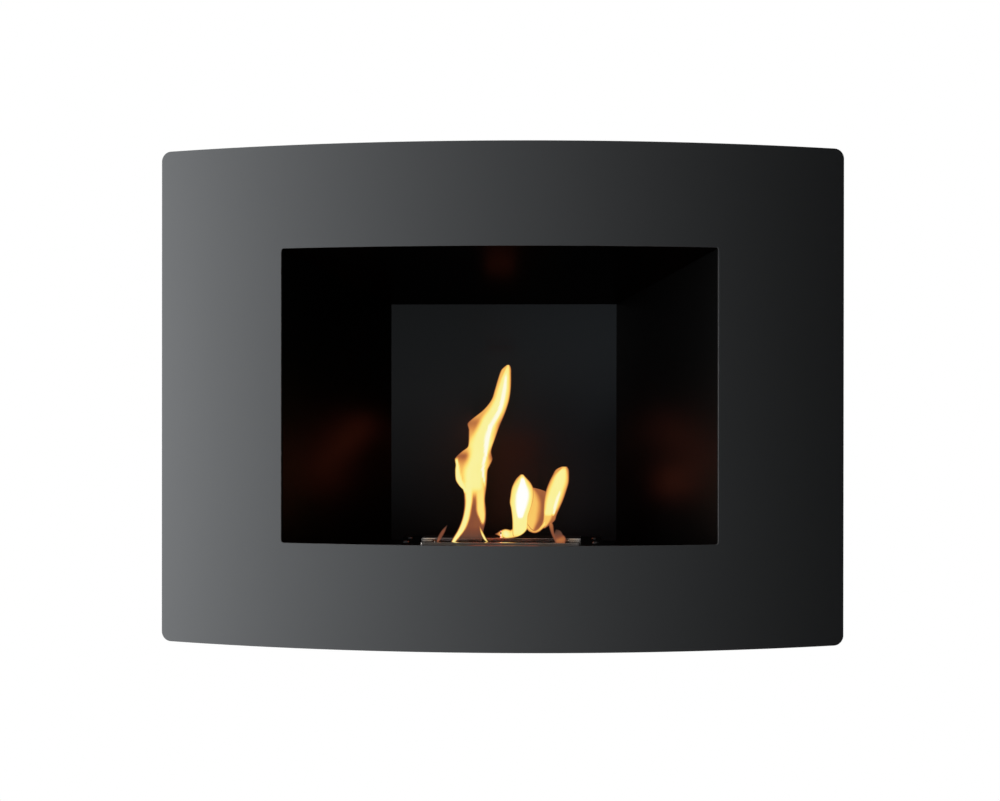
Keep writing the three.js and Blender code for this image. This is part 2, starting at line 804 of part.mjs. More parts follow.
function casingAssembly() {
  return group(
    levels.map((level) => piece(`casing_${level.name}`, casingPlate(level), casingPaint)),
    sides.map((side) => piece(`casing_${side.name}`, casingSide(side), casingPaint)),
    piece('casing_back', casingBack(), casingPaint),
    rivets(casingRivets(), 2 * sheet, zinc),
    rivets(backRivets(), 2 * sheet + fitGap, zinc),
  );
}

function fireboxAssembly() {
  return group(
    piece('firebox_floor', fireboxFloor(), fireboxPaint),
    sides.map((side) => piece(`firebox_wall_${side.name}`, fireboxWall(side), fireboxPaint)),
    piece('firebox_hood', fireboxHood(), fireboxPaint),
    piece('fireback', fireback(), fireboxPaint),
    piece('burner_holder', burnerHolder(), fireboxPaint),
    screws(shelfScrews(), 2 * sheet + fitGap, zinc),
    screws(holderScrews(), holderHeight + sheet, blackened),
  );
}

function burnerAssembly() {
  const burner = group(
    piece('burner_tank', burnerTank(), stainless),
    piece('burner_plate', burnerPlate(), stainless),
    piece('regulator_lid', regulatorLid(), stainless),
    fastener(lidPinPlace(), lidPinSolid(), stainless),
    piece('wool_pad', woolPad(), wool),
    piece('wool_screen', woolScreen(), stainless),
  );
  burner.position.set(0, holderY, holderTop);
  return burner;
}

function hangingAssembly() {
  const spacers = sides.map((side) => {
    const mesh = piece(`spacer_${side.name}`, spacer(), rubber);
    const x = side.sign * (casingHalf - spacerInset);
    mesh.position.set(x, -backRecess, casingBottom + spacerLift);
    return mesh;
  });
  return group(
    sides.map((side) => piece(`hanger_${side.name}`, hanger(side), zinc)),
    rivets(hangerRivets(), railSheet + sheet, zinc),
    spacers,
  );
}

function railAssembly() {
  const rail = group(piece('wall_rail', wallRail(), zinc));
  rail.position.z = railZ;
  return rail;
}

const fireplace = group(
  railAssembly(),
  hangingAssembly(),
  panelAssembly(),
  casingAssembly(),
  fireboxAssembly(),
  burnerAssembly(),
);
fireplace.position.z = -railZ;

export default group(fireplace);
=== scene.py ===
"""Dresses a wall-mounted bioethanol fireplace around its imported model, in metres."""

import logging
import math
from dataclasses import dataclass
from enum import Enum
from typing import Callable, Mapping, Optional, Sequence, Tuple, Union

import bmesh
import bpy
from mathutils import Matrix, Vector, noise


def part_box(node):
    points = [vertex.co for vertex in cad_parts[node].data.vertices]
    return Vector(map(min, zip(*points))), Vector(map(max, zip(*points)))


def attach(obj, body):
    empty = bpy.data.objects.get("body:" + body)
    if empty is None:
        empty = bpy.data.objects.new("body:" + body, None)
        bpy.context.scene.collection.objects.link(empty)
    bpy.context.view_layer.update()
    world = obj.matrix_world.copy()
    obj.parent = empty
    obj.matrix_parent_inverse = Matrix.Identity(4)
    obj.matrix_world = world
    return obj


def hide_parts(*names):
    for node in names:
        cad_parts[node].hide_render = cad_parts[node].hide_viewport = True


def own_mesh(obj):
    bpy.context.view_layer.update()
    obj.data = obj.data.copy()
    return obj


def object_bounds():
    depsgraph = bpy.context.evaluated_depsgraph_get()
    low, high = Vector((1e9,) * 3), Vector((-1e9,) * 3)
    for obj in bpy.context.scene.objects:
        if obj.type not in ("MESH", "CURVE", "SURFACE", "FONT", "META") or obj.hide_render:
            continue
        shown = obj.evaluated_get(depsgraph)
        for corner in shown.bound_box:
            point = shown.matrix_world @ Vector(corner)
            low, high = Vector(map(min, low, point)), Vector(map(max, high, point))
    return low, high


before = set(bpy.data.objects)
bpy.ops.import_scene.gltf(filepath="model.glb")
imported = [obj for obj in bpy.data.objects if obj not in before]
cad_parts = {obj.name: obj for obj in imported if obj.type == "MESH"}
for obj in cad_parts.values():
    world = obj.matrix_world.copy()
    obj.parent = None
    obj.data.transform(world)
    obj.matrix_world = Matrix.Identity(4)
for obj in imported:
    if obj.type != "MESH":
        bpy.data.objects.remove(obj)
cad_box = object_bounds()

log = logging.getLogger("fireplace")

Pair = Tuple[float, float]
Triple = Tuple[float, float, float]
Colour = Triple
Thing = bpy.types.Object
Value = Union[float, Colour, Vector, "Signal"]

SQUARE = ((-1, -1), (1, -1), (1, 1), (-1, 1))


class Body(Enum):
    """The bodies that new pieces ride on."""

    FIREPLACE = "fireplace"
    BURNER = "burner"
    LID = "regulator_lid"


class Slot(Enum):
    """The record's material slots."""

    PANEL = "panel_paint"
    CASING = "casing_paint"
    STAINLESS = "stainless"
    ZINC = "zinc"
    BLACKENED = "blackened_steel"
    WOOL = "ceramic_wool"
    RUBBER = "rubber"


class Facing(Enum):
    """The way in which a fastener's head looks."""

    UP = (0, 0, 1)
    DOWN = (0, 0, -1)
    LEFT = (-1, 0, 0)
    RIGHT = (1, 0, 0)
    BACK = (0, 1, 0)


def arithmetic(operation: str, flipped: bool = False) -> Callable[["Signal", Value], "Signal"]:
    """Makes an operator that adds a Math node.

    Args:
        operation: the node's operation.
        flipped: whether the signal is the second value.

    Returns:
        The method of a signal.
    """
    def method(signal: "Signal", other: Value) -> "Signal":
        """Returns the node's output."""
        return signal.combine(operation, *((other, signal) if flipped else (signal, other)))

    return method


class Signal:
    """One output socket, with arithmetic that adds Math nodes."""

    def __init__(self, shader: "Shader", socket: bpy.types.NodeSocket) -> None:
        """Wraps an output socket of a shader, whose nodes the arithmetic adds to."""
        self.shader = shader
        self.socket = socket

    def combine(self, operation: str, *values: Value) -> "Signal":
        """Returns the output of a new Math node with these values."""
        return self.shader.node("ShaderNodeMath", {"operation": operation}, dict(enumerate(values)))

    __add__ = __radd__ = arithmetic("ADD")
    __sub__ = arithmetic("SUBTRACT")
    __rsub__ = arithmetic("SUBTRACT", flipped=True)
    __mul__ = __rmul__ = arithmetic("MULTIPLY")
    __truediv__ = arithmetic("DIVIDE")
    __pow__ = arithmetic("POWER")
    at_least = arithmetic("MAXIMUM")

    def __abs__(self) -> "Signal":
        """Returns the size without its sign."""
        return self.combine("ABSOLUTE", self)

    def ease(self, low: float, high: float) -> "Signal":
        """Returns a smooth rise from 0 at the low value to 1 at the high one."""
        inputs = {"Value": self, "From Min": low, "From Max": high}
        return self.shader.node("ShaderNodeMapRange", {"interpolation_type": "SMOOTHSTEP"}, inputs)

    def swing(self, amount: float) -> "Signal":
        """Returns a signal about 0.5 as one about 0, with the given swing."""
        return (self - 0.5) * amount


class Shader:
    """A node tree with one method that adds its nodes."""

    def __init__(self, owner: Union[bpy.types.Material, bpy.types.World]) -> None:
        """Empties the owner's node tree.

        Args:
            owner: the material or world that the nodes belong to.
        """
        owner.use_nodes = True
        self.owner = owner
        self.tree = owner.node_tree
        self.tree.nodes.clear()

    def node(
        self,
        kind: str,
        settings: Optional[Mapping[str, object]] = None,
        inputs: Optional[Mapping[Union[int, str], Value]] = None,
        output: Union[int, str] = 0,
    ) -> Signal:
        """Adds a node, sets it up and fills its sockets.

        Args:
            kind: the node's type.
            settings: its properties, with a ramp's stops under "stops".
            inputs: numbers, colours or signals by socket name or index.
            output: the socket to return.

        Returns:
            The chosen output.
        """
        made = self.tree.nodes.new(kind)
        for name, value in (settings or {}).items():
            if name == "stops":
                self._set_stops(made.color_ramp, value)
            else:
                setattr(made, name, value)
        for name, value in (inputs or {}).items():
            self._plug(made.inputs[name], value)
        socket = made.outputs[output] if made.outputs else None
        return Signal(self, socket)

    def _set_stops(self, ramp: bpy.types.ColorRamp, stops: Sequence[Tuple[float, Colour]]) -> None:
        """Gives a colour ramp its stops.

        Args:
            ramp: the ramp.
            stops: positions and colours, in order.
        """
        while len(ramp.elements) < len(stops):
            ramp.elements.new(1)
        for element, (position, colour) in zip(ramp.elements, stops):
            element.position = position
            element.color = (*colour, 1)

    def _plug(self, socket: bpy.types.NodeSocket, value: Value) -> None:
        """Links or sets one input.

        Args:
            socket: the input.
            value: what it gets.
        """
        if isinstance(value, Signal):
            self.tree.links.new(value.socket, socket)
        elif socket.type == "RGBA":
            socket.default_value = (*value, 1)
        else:
            socket.default_value = value

    def place(self) -> Signal:
        """Returns the place on the object, in metres."""
        return self.node("ShaderNodeTexCoord", output="Object")

    def axis(self, letter: str) -> Signal:
        """Returns one coordinate of the place."""
        return self.node("ShaderNodeSeparateXYZ", inputs={"Vector": self.place()}, output=letter)

    def scaled(self, factors: Triple) -> Signal:
        """Returns the place with each axis scaled."""
        settings = {"operation": "MULTIPLY"}
        return self.node("ShaderNodeVectorMath", settings, {0: self.place(), 1: factors})

    def grain(self, size: float, detail: float = 2, vector: Optional[Signal] = None) -> Signal:
        """Returns cloudy noise about 0.5, with blotches of a size and so many finer layers."""
        inputs = {"Vector": vector or self.place(), "Scale": 1 / size, "Detail": detail}
        return self.node("ShaderNodeTexNoise", inputs=inputs)

    def blend(self, share: Value, first: Value, second: Value) -> Signal:
        """Returns a mix of two colours."""
        inputs = {0: share, 6: first, 7: second}
        return self.node("ShaderNodeMix", {"data_type": "RGBA"}, inputs, 2)

    def shade(self, colour: Value, strength: Signal) -> Signal:
        """Returns a colour times a strength."""
        inputs = {0: colour, "Scale": strength}
        return self.node("ShaderNodeVectorMath", {"operation": "SCALE"}, inputs)

    def bump(self, height: Signal, depth: float) -> Signal:
        """Returns the normal of a surface with a relief of the given depth."""
        return self.node("ShaderNodeBump", inputs={"Height": height, "Distance": depth})

    def surface(self, inputs: Mapping[Union[int, str], Value]) -> None:
        """Ends the tree in a Principled surface with these sockets."""
        self.output(self.node("ShaderNodeBsdfPrincipled", inputs=inputs))

    def output(self, signal: Signal) -> None:
        """Ends the tree in a signal."""
        kind = "World" if isinstance(self.owner, bpy.types.World) else "Material"
        self.node(f"ShaderNodeOutput{kind}", inputs={"Surface": signal})


def new_shader(name: str) -> Shader:
    """Returns the shader of a new material."""
    return Shader(bpy.data.materials.new(name))


@dataclass(frozen=True)
class PowderCoat:
    """Baked powder paint with a fine orange peel."""

    name: str
    colour: Colour
    roughness: float
    gloss: float
    peel: float
    relief: float
    mottle: float = 0.05
    sheen: Colour = (1, 1, 1)
    # The coat fields below paint a sheen: the coat's weight grows from a corner by place, a painted
    # reflection of how the light falls.
    sheen_coat_peak: float = 0.0
    painted_shade_corner: Optional[Vector] = None
    painted_sheen_run: Pair = (1, 1)
    painted_sheen_range: Pair = (0.35, 0.85)
    painted_sheen_slant: float = 0.25
    painted_sheen_drift: float = 0.2
    blotch: float = 0.16
    blotch_shine: float = 0.04
    peel_shine: float = 0.1
    speck_relief: float = 0.4

    def material(self) -> bpy.types.Material:
        """Makes the paint's material.

        Returns:
            The material.
        """
        shader = new_shader(self.name)
        cloud = shader.grain(self.blotch)
        fine = shader.grain(self.peel, 3)
        specks = shader.grain(self.peel / 4, 1)
        tone = 1 + cloud.swing(self.mottle) + specks.swing(self.mottle)
        inputs = {
            "Base Color": shader.shade(self.colour, tone),
            "Roughness": self.roughness + fine.swing(self.peel_shine)
            + cloud.swing(self.blotch_shine),
            "Specular IOR Level": self.gloss,
            "Specular Tint": self.sheen,
            "Normal": shader.bump(fine + specks * self.speck_relief, self.relief),
        }
        # A coat weight graded by place paints the sheen of the light onto the surface.
        if self.sheen_coat_peak:
            inputs["Coat Roughness"] = self.roughness
            inputs["Coat Weight"] = self._painted_sheen(shader, cloud)
        shader.surface(inputs)
        return shader.owner

    def _painted_sheen(self, shader: Shader, cloud: Signal) -> Signal:
        """Paints a sheen into the coat's weight: a painted reflection that is strongest towards the
        top and the left, and fades towards the lower right corner.

        Args:
            shader: the paint's shader.
            cloud: its cloudy noise.

        Returns:
            The coat's weight, which carries the painted sheen.
        """
        foot, run = self.painted_shade_corner, self.painted_sheen_run
        up = (shader.axis("Z") - foot.z) / run[1]
        left = (foot.x - shader.axis("X")) / run[0]
        # Painted sheen: more coat upward and leftward from the corner, less towards it.
        painted_sheen_share = up + left * self.painted_sheen_slant + cloud.swing(self.painted_sheen_drift)
        return painted_sheen_share.ease(*self.painted_sheen_range) * self.sheen_coat_peak


@dataclass(frozen=True)
class BrushedSteel:
    """Stainless steel with brush marks along X and a heat tint round the slot."""

    name: str
    colour: Colour
    straw: Colour
    blue: Colour
    roughness: float
    slot_middle: Vector
    slot_half: Pair
    tint_reach: float = 0.014
    straw_share: float = 0.7
    blue_share: float = 0.45
    brush: float = 0.0006
    brush_stretch: Triple = (0.03, 1, 1)
    brush_depth: float = 0.00004
    brush_shine: float = 0.08
    brush_darkest: float = 0.94
    brush_tone: float = 0.12
    smear: float = 0.03
    smear_shine: float = 0.06

    def material(self) -> bpy.types.Material:
        """Makes the brushed steel's material.

        Returns:
            The material.
        """
        shader = new_shader(self.name)
        marks = shader.grain(self.brush, 3, shader.scaled(self.brush_stretch))
        smears = shader.grain(self.smear)
        out_x, out_y = (
            (abs(shader.axis(axis) - middle) - half).at_least(0)
            for axis, middle, half in zip("XY", self.slot_middle, self.slot_half)
        )
        distance = (out_x * out_x + out_y * out_y) ** 0.5
        wander = distance + smears.swing(self.tint_reach)
        warm = 1 - wander.ease(0, self.tint_reach)
        hot = 1 - wander.ease(0, self.tint_reach / 3)
        low = 1 - abs(shader.axis("Z") - self.slot_middle.z).ease(0, self.tint_reach)
        tinted = shader.blend(warm * low * self.straw_share, self.colour, self.straw)
        tinted = shader.blend(hot * low * self.blue_share, tinted, self.blue)
        shader.surface({
            "Base Color": shader.shade(tinted, self.brush_darkest + marks * self.brush_tone),
            "Metallic": 1,
            "Roughness": self.roughness + marks.swing(self.brush_shine)
            + smears.swing(self.smear_shine),
            "Normal": shader.bump(marks, self.brush_depth),
        })
        return shader.owner


@dataclass(frozen=True)
class PlatedSteel:
    """Plated or blackened steel with faint spangles and stains."""

    name: str
    colour: Colour
    cast: Colour
    roughness: float
    spangle: float
    spangle_darkest: float = 0.93
    spangle_tone: float = 0.1
    spangle_shine: float = 0.12
    stain_shine: float = 0.1
    stain: float = 0.03
    stained: Pair = (0.4, 0.75)
    stain_share: float = 0.5
    pitting: float = 0.0008
    pit_depth: float = 0.00003

    def material(self) -> bpy.types.Material:
        """Makes the plating's material.

        Returns:
            The material.
        """
        shader = new_shader(self.name)
        inputs = {"Vector": shader.place(), "Scale": 1 / self.spangle}
        cells = shader.node("ShaderNodeTexVoronoi", inputs=inputs, output="Color")
        flake = shader.node("ShaderNodeSeparateColor", inputs={"Color": cells})
        stain = shader.grain(self.stain, 3)
        stained = stain.ease(*self.stained) * self.stain_share
        colour = shader.blend(stained, self.colour, self.cast)
        shader.surface({
            "Base Color": shader.shade(colour, self.spangle_darkest + flake * self.spangle_tone),
            "Metallic": 1,
            "Roughness": self.roughness + flake.swing(self.spangle_shine)
            + stain.swing(self.stain_shine),
            "Normal": shader.bump(shader.grain(self.pitting), self.pit_depth),
        })
        return shader.owner


@dataclass(frozen=True)
class FibreMat:
    """Pale ceramic fibre, browned a little where it is hot."""

    name: str
    colour: Colour
    scorch: Colour
    strand: float = 0.0012
    strand_stretch: Triple = (0.35, 1, 1)
    cross_strand: float = 0.0009
    cross_stretch: Triple = (1, 0.4, 1)
    roughness: float = 0.95
    gloss: float = 0.1
    fuzz_darkest: float = 0.75
    fuzz_tone: float = 0.4
    fuzz_depth: float = 0.0005
    stain: float = 0.02
    scorched: Pair = (0.45, 0.8)
    scorch_share: float = 0.5

    def material(self) -> bpy.types.Material:
        """Makes the fibre's material.

        Returns:
            The material.
        """
        shader = new_shader(self.name)
        strands = shader.grain(self.strand, 4, shader.scaled(self.strand_stretch))
        across = shader.grain(self.cross_strand, 3, shader.scaled(self.cross_stretch))
        stain = shader.grain(self.stain, 3)
        fuzz = strands.at_least(across)
        scorched = stain.ease(*self.scorched) * self.scorch_share
        colour = shader.blend(scorched, self.colour, self.scorch)
        shader.surface({
            "Base Color": shader.shade(colour, self.fuzz_darkest + fuzz * self.fuzz_tone),
            "Roughness": self.roughness,
            "Specular IOR Level": self.gloss,
            "Normal": shader.bump(fuzz, self.fuzz_depth),
        })
        return shader.owner


@dataclass(frozen=True)
class MouldedRubber:
    """Matt rubber with a dusty bloom."""

    name: str
    colour: Colour
    bloom: Colour
    roughness: float = 0.8
    gloss: float = 0.25
    pore_shine: float = 0.2
    dust: float = 0.004
    dusty: Pair = (0.45, 0.8)
    dust_share: float = 0.4
    pore: float = 0.0005
    pore_depth: float = 0.00008

    def material(self) -> bpy.types.Material:
        """Makes the rubber's material.

        Returns:
            The material.
        """
        shader = new_shader(self.name)
        dust = shader.grain(self.dust, 4).ease(*self.dusty) * self.dust_share
        pores = shader.grain(self.pore)
        shader.surface({
            "Base Color": shader.blend(dust, self.colour, self.bloom),
            "Roughness": self.roughness + pores.swing(self.pore_shine),
            "Specular IOR Level": self.gloss,
            "Normal": shader.bump(pores, self.pore_depth),
        })
        return shader.owner


@dataclass(frozen=True)
class Fire:
    """Burning gas, which glows by its heat and thins out at its outline.

    The mesh gives its heat, from 0 to 1, and its inset from the outline, in metres.
    """

    name: str
    stops: Tuple[Tuple[float, Colour], ...]
    strength: float = 1.0
    soft_edge: float = 0.0015
    orange_edge: float = 0.0021
    edge_heat: float = 0.5
    thin_alpha: float = 0.5
    thin_heat: Pair = (-0.1, 0.02)
    full_heat: Pair = (0.04, 0.4)
    ripple: float = 0.009
    ripple_stretch: Triple = (1, 1, 0.35)
    flicker: float = 0.1

    def material(self) -> bpy.types.Material:
        """Makes the fire's material.

        Returns:
            The material.
        """
        shader = new_shader(self.name)
        heat, inset = (
            shader.node("ShaderNodeAttribute", {"attribute_name": name}, output="Fac")
            for name in ("warmth", "inset")
        )
        ripple = shader.grain(self.ripple, 2, shader.scaled(self.ripple_stretch))
        edge = inset.ease(0, self.orange_edge)
        warmth = heat * (self.edge_heat + (1 - self.edge_heat) * edge) + ripple.swing(self.flicker)
        thin = heat.ease(*self.thin_heat) * self.thin_alpha
        body = thin + (1 - self.thin_alpha) * heat.ease(*self.full_heat)
        shader.surface({
            "Base Color": (0, 0, 0),
            "Roughness": 1,
            "Specular IOR Level": 0,
            "Emission Color": shader.node(
                "ShaderNodeValToRGB", {"stops": self.stops}, {"Fac": warmth}
            ),
            "Emission Strength": self.strength,
            "Alpha": body * inset.ease(0, self.soft_edge),
        })
        return shader.owner


FIRE_STOPS = (
    (0, (0.17, 0.075, 0.05)),
    (0.09, (0.28, 0.088, 0.046)),
    (0.2, (0.44, 0.145, 0.05)),
    (0.32, (0.68, 0.27, 0.07)),
    (0.44, (0.9, 0.47, 0.11)),
    (0.56, (1, 0.69, 0.155)),
    (0.68, (0.96, 0.85, 0.26)),
    (0.8, (0.95, 0.9, 0.38)),
    (0.91, (0.99, 0.95, 0.7)),
    (1, (1, 1, 0.98)),
)


class Finishes:
    """The materials of all the pieces, each made once."""

    def __init__(self, slot_middle: Vector, slot_half: Pair) -> None:
        """Makes the materials.

        Args:
            slot_middle: the middle of the burner's slot.
            slot_half: half the slot's width and depth.
        """
        self.panel = PowderCoat(
            "panel_graphite", (0.082, 0.0855, 0.089), 0.5, 0.04, 0.0011, 0.00003, 0.04
        ).material()
        self.casing = PowderCoat(
            "casing_black", (0.02, 0.021, 0.022), 0.62, 0.3, 0.0007, 0.00009, 0.1
        ).material()
        self.walls = PowderCoat(
            "firebox_black", (0.0004, 0.0004, 0.0004), 0.31, 0.027, 0.0009, 0.00001, 0.1
        ).material()
        low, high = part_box("fireback")
        # The fireback's coat is graded by place: a painted sheen, brighter at the top and the left.
        self.fireback = PowderCoat(
            "fireback_black", (0.0055, 0.0074, 0.0096), 0.3, 0.045, 0.0009, 0.00002, 0.1,
            (0.8, 0.95, 1), 0.15, Vector((high.x, low.y, low.z)),
            (high.x - low.x, high.z - low.z),
        ).material()
        self.stainless = BrushedSteel(
            "brushed_stainless", (0.47, 0.45, 0.43), (0.5, 0.34, 0.2), (0.2, 0.22, 0.36),
            0.14, slot_middle, slot_half,
        ).material()
        bright = (0.9, 0.89, 0.87)
        self.polished = BrushedSteel(
            "polished_pin", bright, bright, bright, 0.12, slot_middle, slot_half
        ).material()
        self.zinc = PlatedSteel(
            "zinc_plate", (0.36, 0.375, 0.39), (0.4, 0.38, 0.33), 0.46, 0.004
        ).material()
        self.blackened = PlatedSteel(
            "blackened_screw", (0.03, 0.03, 0.032), (0.045, 0.04, 0.035), 0.45, 0.002
        ).material()
        self.wool = FibreMat("ceramic_fibre", (0.8, 0.78, 0.72), (0.5, 0.4, 0.28)).material()
        self.rubber = MouldedRubber(
            "spacer_rubber", (0.02, 0.02, 0.02), (0.07, 0.07, 0.068)
        ).material()
        self.fire = Fire("burning_ethanol", FIRE_STOPS).material()


def smooth(thing: Thing) -> None:
    """Shades a piece smoothly."""
    thing.data.polygons.foreach_set("use_smooth", [True] * len(thing.data.polygons))


def add_mesh(name: str, vertices: Sequence[Vector], faces: Sequence[Sequence[int]]) -> Thing:
    """Adds a smooth-shaded mesh to the scene.

    Args:
        name: the piece's name.
        vertices: its points.
        faces: the points of each face, by index.

    Returns:
        The new object, at the origin.
    """
    mesh = bpy.data.meshes.new(name)
    mesh.from_pydata([tuple(v) for v in vertices], [], [tuple(f) for f in faces])
    thing = bpy.data.objects.new(name, mesh)
    smooth(thing)
    mesh.update()
    bpy.context.scene.collection.objects.link(thing)
    return thing


def thicken(work: bmesh.types.BMesh, thickness: float) -> None:
    """Gives a level sheet a thickness, downward.

    Args:
        work: the sheet.
        thickness: its thickness.
    """
    made = bmesh.ops.extrude_face_region(work, geom=work.faces[:])
    lowered = [v for v in made["geom"] if isinstance(v, bmesh.types.BMVert)]
    bmesh.ops.translate(work, verts=lowered, vec=(0, 0, -thickness))


def add_worked(name: str, work: bmesh.types.BMesh) -> Thing:
    """Adds a mesh that was worked with bmesh, with its faces turned outward.

    Args:
        name: the piece's name.
        work: its mesh, which is freed.

    Returns:
        The new object.
    """
    bmesh.ops.recalc_face_normals(work, faces=work.faces[:])
    thing = add_mesh(name, [], [])
    work.to_mesh(thing.data)
    work.free()
    smooth(thing)
    return thing


def round_edges(
    thing: Thing, radius: float, weld: bool = False, sharpest: float = math.radians(40)
) -> None:
    """Rounds the sharp edges of a sheet or plate.

    Args:
        thing: the piece or node.
        radius: the edge's radius.
        weld: whether its points have to be joined first.
        sharpest: the smallest turn that counts as an edge.
    """
    if weld:
        joined = thing.modifiers.new("joined_points", "WELD")
        joined.merge_threshold = radius / 50
    edge = thing.modifiers.new("rounded_edges", "BEVEL")
    edge.width = radius
    edge.segments = 2
    edge.limit_method = "ANGLE"
    edge.angle_limit = sharpest
    edge.use_clamp_overlap = True
    shade_evenly(thing)


def shade_evenly(thing: Thing) -> None:
    """Keeps flat faces flat beside rounded ones."""
    thing.modifiers.new("even_shading", "WEIGHTED_NORMAL")


def dress(nodes: Sequence[str], material: bpy.types.Material, edge: float) -> None:
    """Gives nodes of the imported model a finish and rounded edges.

    Args:
        nodes: the nodes' names.
        material: the finish.
        edge: the radius of their edges.
    """
    for name in nodes:
        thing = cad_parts[name]
        thing.data.materials.clear()
        thing.data.materials.append(material)
        smooth(thing)
        round_edges(thing, edge, weld=True)
        log.info("dressed %s in %s", name, material.name)


def settle(
    thing: Thing,
    body: Body,
    material: bpy.types.Material,
    stands_for: Sequence[str] = (),
) -> None:
    """Tells the frame what a new piece is.

    Args:
        thing: the piece.
        body: the body that it rides on.
        material: its finish.
        stands_for: the nodes that it replaces.
    """
    thing.data.materials.append(material)
    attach(thing, body.value)
    if stands_for:
        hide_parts(*stands_for)
    log.info("made %s of %d faces on %s", thing.name, len(thing.data.polygons), body.value)


def add_lathed(
    name: str, profile: Sequence[Pair], steps: int, seat: Matrix, hexagon: int = 0
) -> Thing:
    """Turns a profile about Z and adds the closed body at its seat.

    Args:
        name: the piece's name.
        profile: radius and height of each point. The first and the last lie on the axis.
        steps: the number of faces round the axis.
        seat: the body's placement.
        hexagon: the first of two rings that are hexagonal, or 0.

    Returns:
        The new object.
    """
    first, *middle, last = profile
    turns = [2 * math.pi * step / steps for step in range(steps)]
    vertices = [Vector((0, 0, first[1]))]
    for row, (radius, height) in enumerate(middle):
        for turn in turns:
            hexagonal = hexagon and row in (hexagon, hexagon + 1)
            side = radius * (hexagon_reach(turn) if hexagonal else 1)
            vertices.append(Vector((side * math.cos(turn), side * math.sin(turn), height)))
    vertices.append(Vector((0, 0, last[1])))
    rows, end = len(middle), len(vertices) - 1

    def ring(row: int, step: int) -> int:
        """Returns the index of a point of a ring."""
        return 1 + row * steps + step % steps

    faces = []
    for step in range(steps):
        after = step + 1
        faces.append((0, ring(0, after), ring(0, step)))
        for row in range(rows - 1):
            above = row + 1
            faces.append((ring(row, step), ring(row, after), ring(above, after), ring(above, step)))
        faces.append((end, ring(rows - 1, step), ring(rows - 1, after)))
    thing = add_mesh(name, [seat @ v for v in vertices], faces)
    shade_evenly(thing)
    return thing


def hexagon_reach(turn: float) -> float:
    """Returns how far a hexagon reaches at a turn, against a circle round its corners."""
    off_flat = turn % (math.pi / 3) - math.pi / 6
    return math.cos(math.pi / 6) / math.cos(off_flat)


def tube_faces(rings: int, around: int, closed: bool = False) -> list:
    """Joins rings of points.

    Args:
        rings: the number of rings.
        around: the number of points in a ring.
        closed: whether the last ring joins the first, or else both ends have a cap.

    Returns:
        The faces.
    """
    faces = []
    for ring in range(rings if closed else rings - 1):
        near, far = ring * around, (ring + 1) % rings * around
        for step in range(around):
            after = (step + 1) % around
            faces.append((near + step, near + after, far + after, far + step))
    if not closed:
        faces.append(tuple(reversed(range(around))))
        faces.append(tuple(range((rings - 1) * around, rings * around)))
    return faces


def rounded_loop(width: float, depth: float, corner: float, steps: int) -> list:
    """Draws a level rounded rectangle about the origin.

    Args:
        width: its size along X.
        depth: its size along Y.
        corner: the radius of its corners.
        steps: the number of faces in each corner.

    Returns:
        Its points.
    """
    points = []
    for quarter, (side_x, side_y) in enumerate(((1, 1), (-1, 1), (-1, -1), (1, -1))):
        middle = Vector((side_x * (width / 2 - corner), side_y * (depth / 2 - corner), 0))
        for step in range(steps + 1):
            turn = quarter * math.pi / 2 + step * math.pi / 2 / steps
            points.append(middle + corner * Vector((math.cos(turn), math.sin(turn), 0)))
    return points


def grid_box(counts: Tuple[int, int, int]) -> Tuple[list, list]:
    """Draws a cube from -1 to 1 whose sides are grids.

    Args:
        counts: the number of squares along X, Y and Z.

    Returns:
        Its points, and its faces with their outsides out.
    """
    order = {}
    faces = []
    for axis in range(3):
        first, second = (axis + 1) % 3, (axis + 2) % 3
        for level in (0, counts[axis]):
            for i in range(counts[first]):
                for j in range(counts[second]):
                    face = []
                    for a, b in ((0, 0), (1, 0), (1, 1), (0, 1)):
                        place = {axis: level, first: i + a, second: j + b}
                        corner = (place[0], place[1], place[2])
                        face.append(order.setdefault(corner, len(order)))
                    faces.append(face if level else face[::-1])
    points = [Vector([2 * step / count - 1 for step, count in zip(p, counts)]) for p in order]
    return points, faces


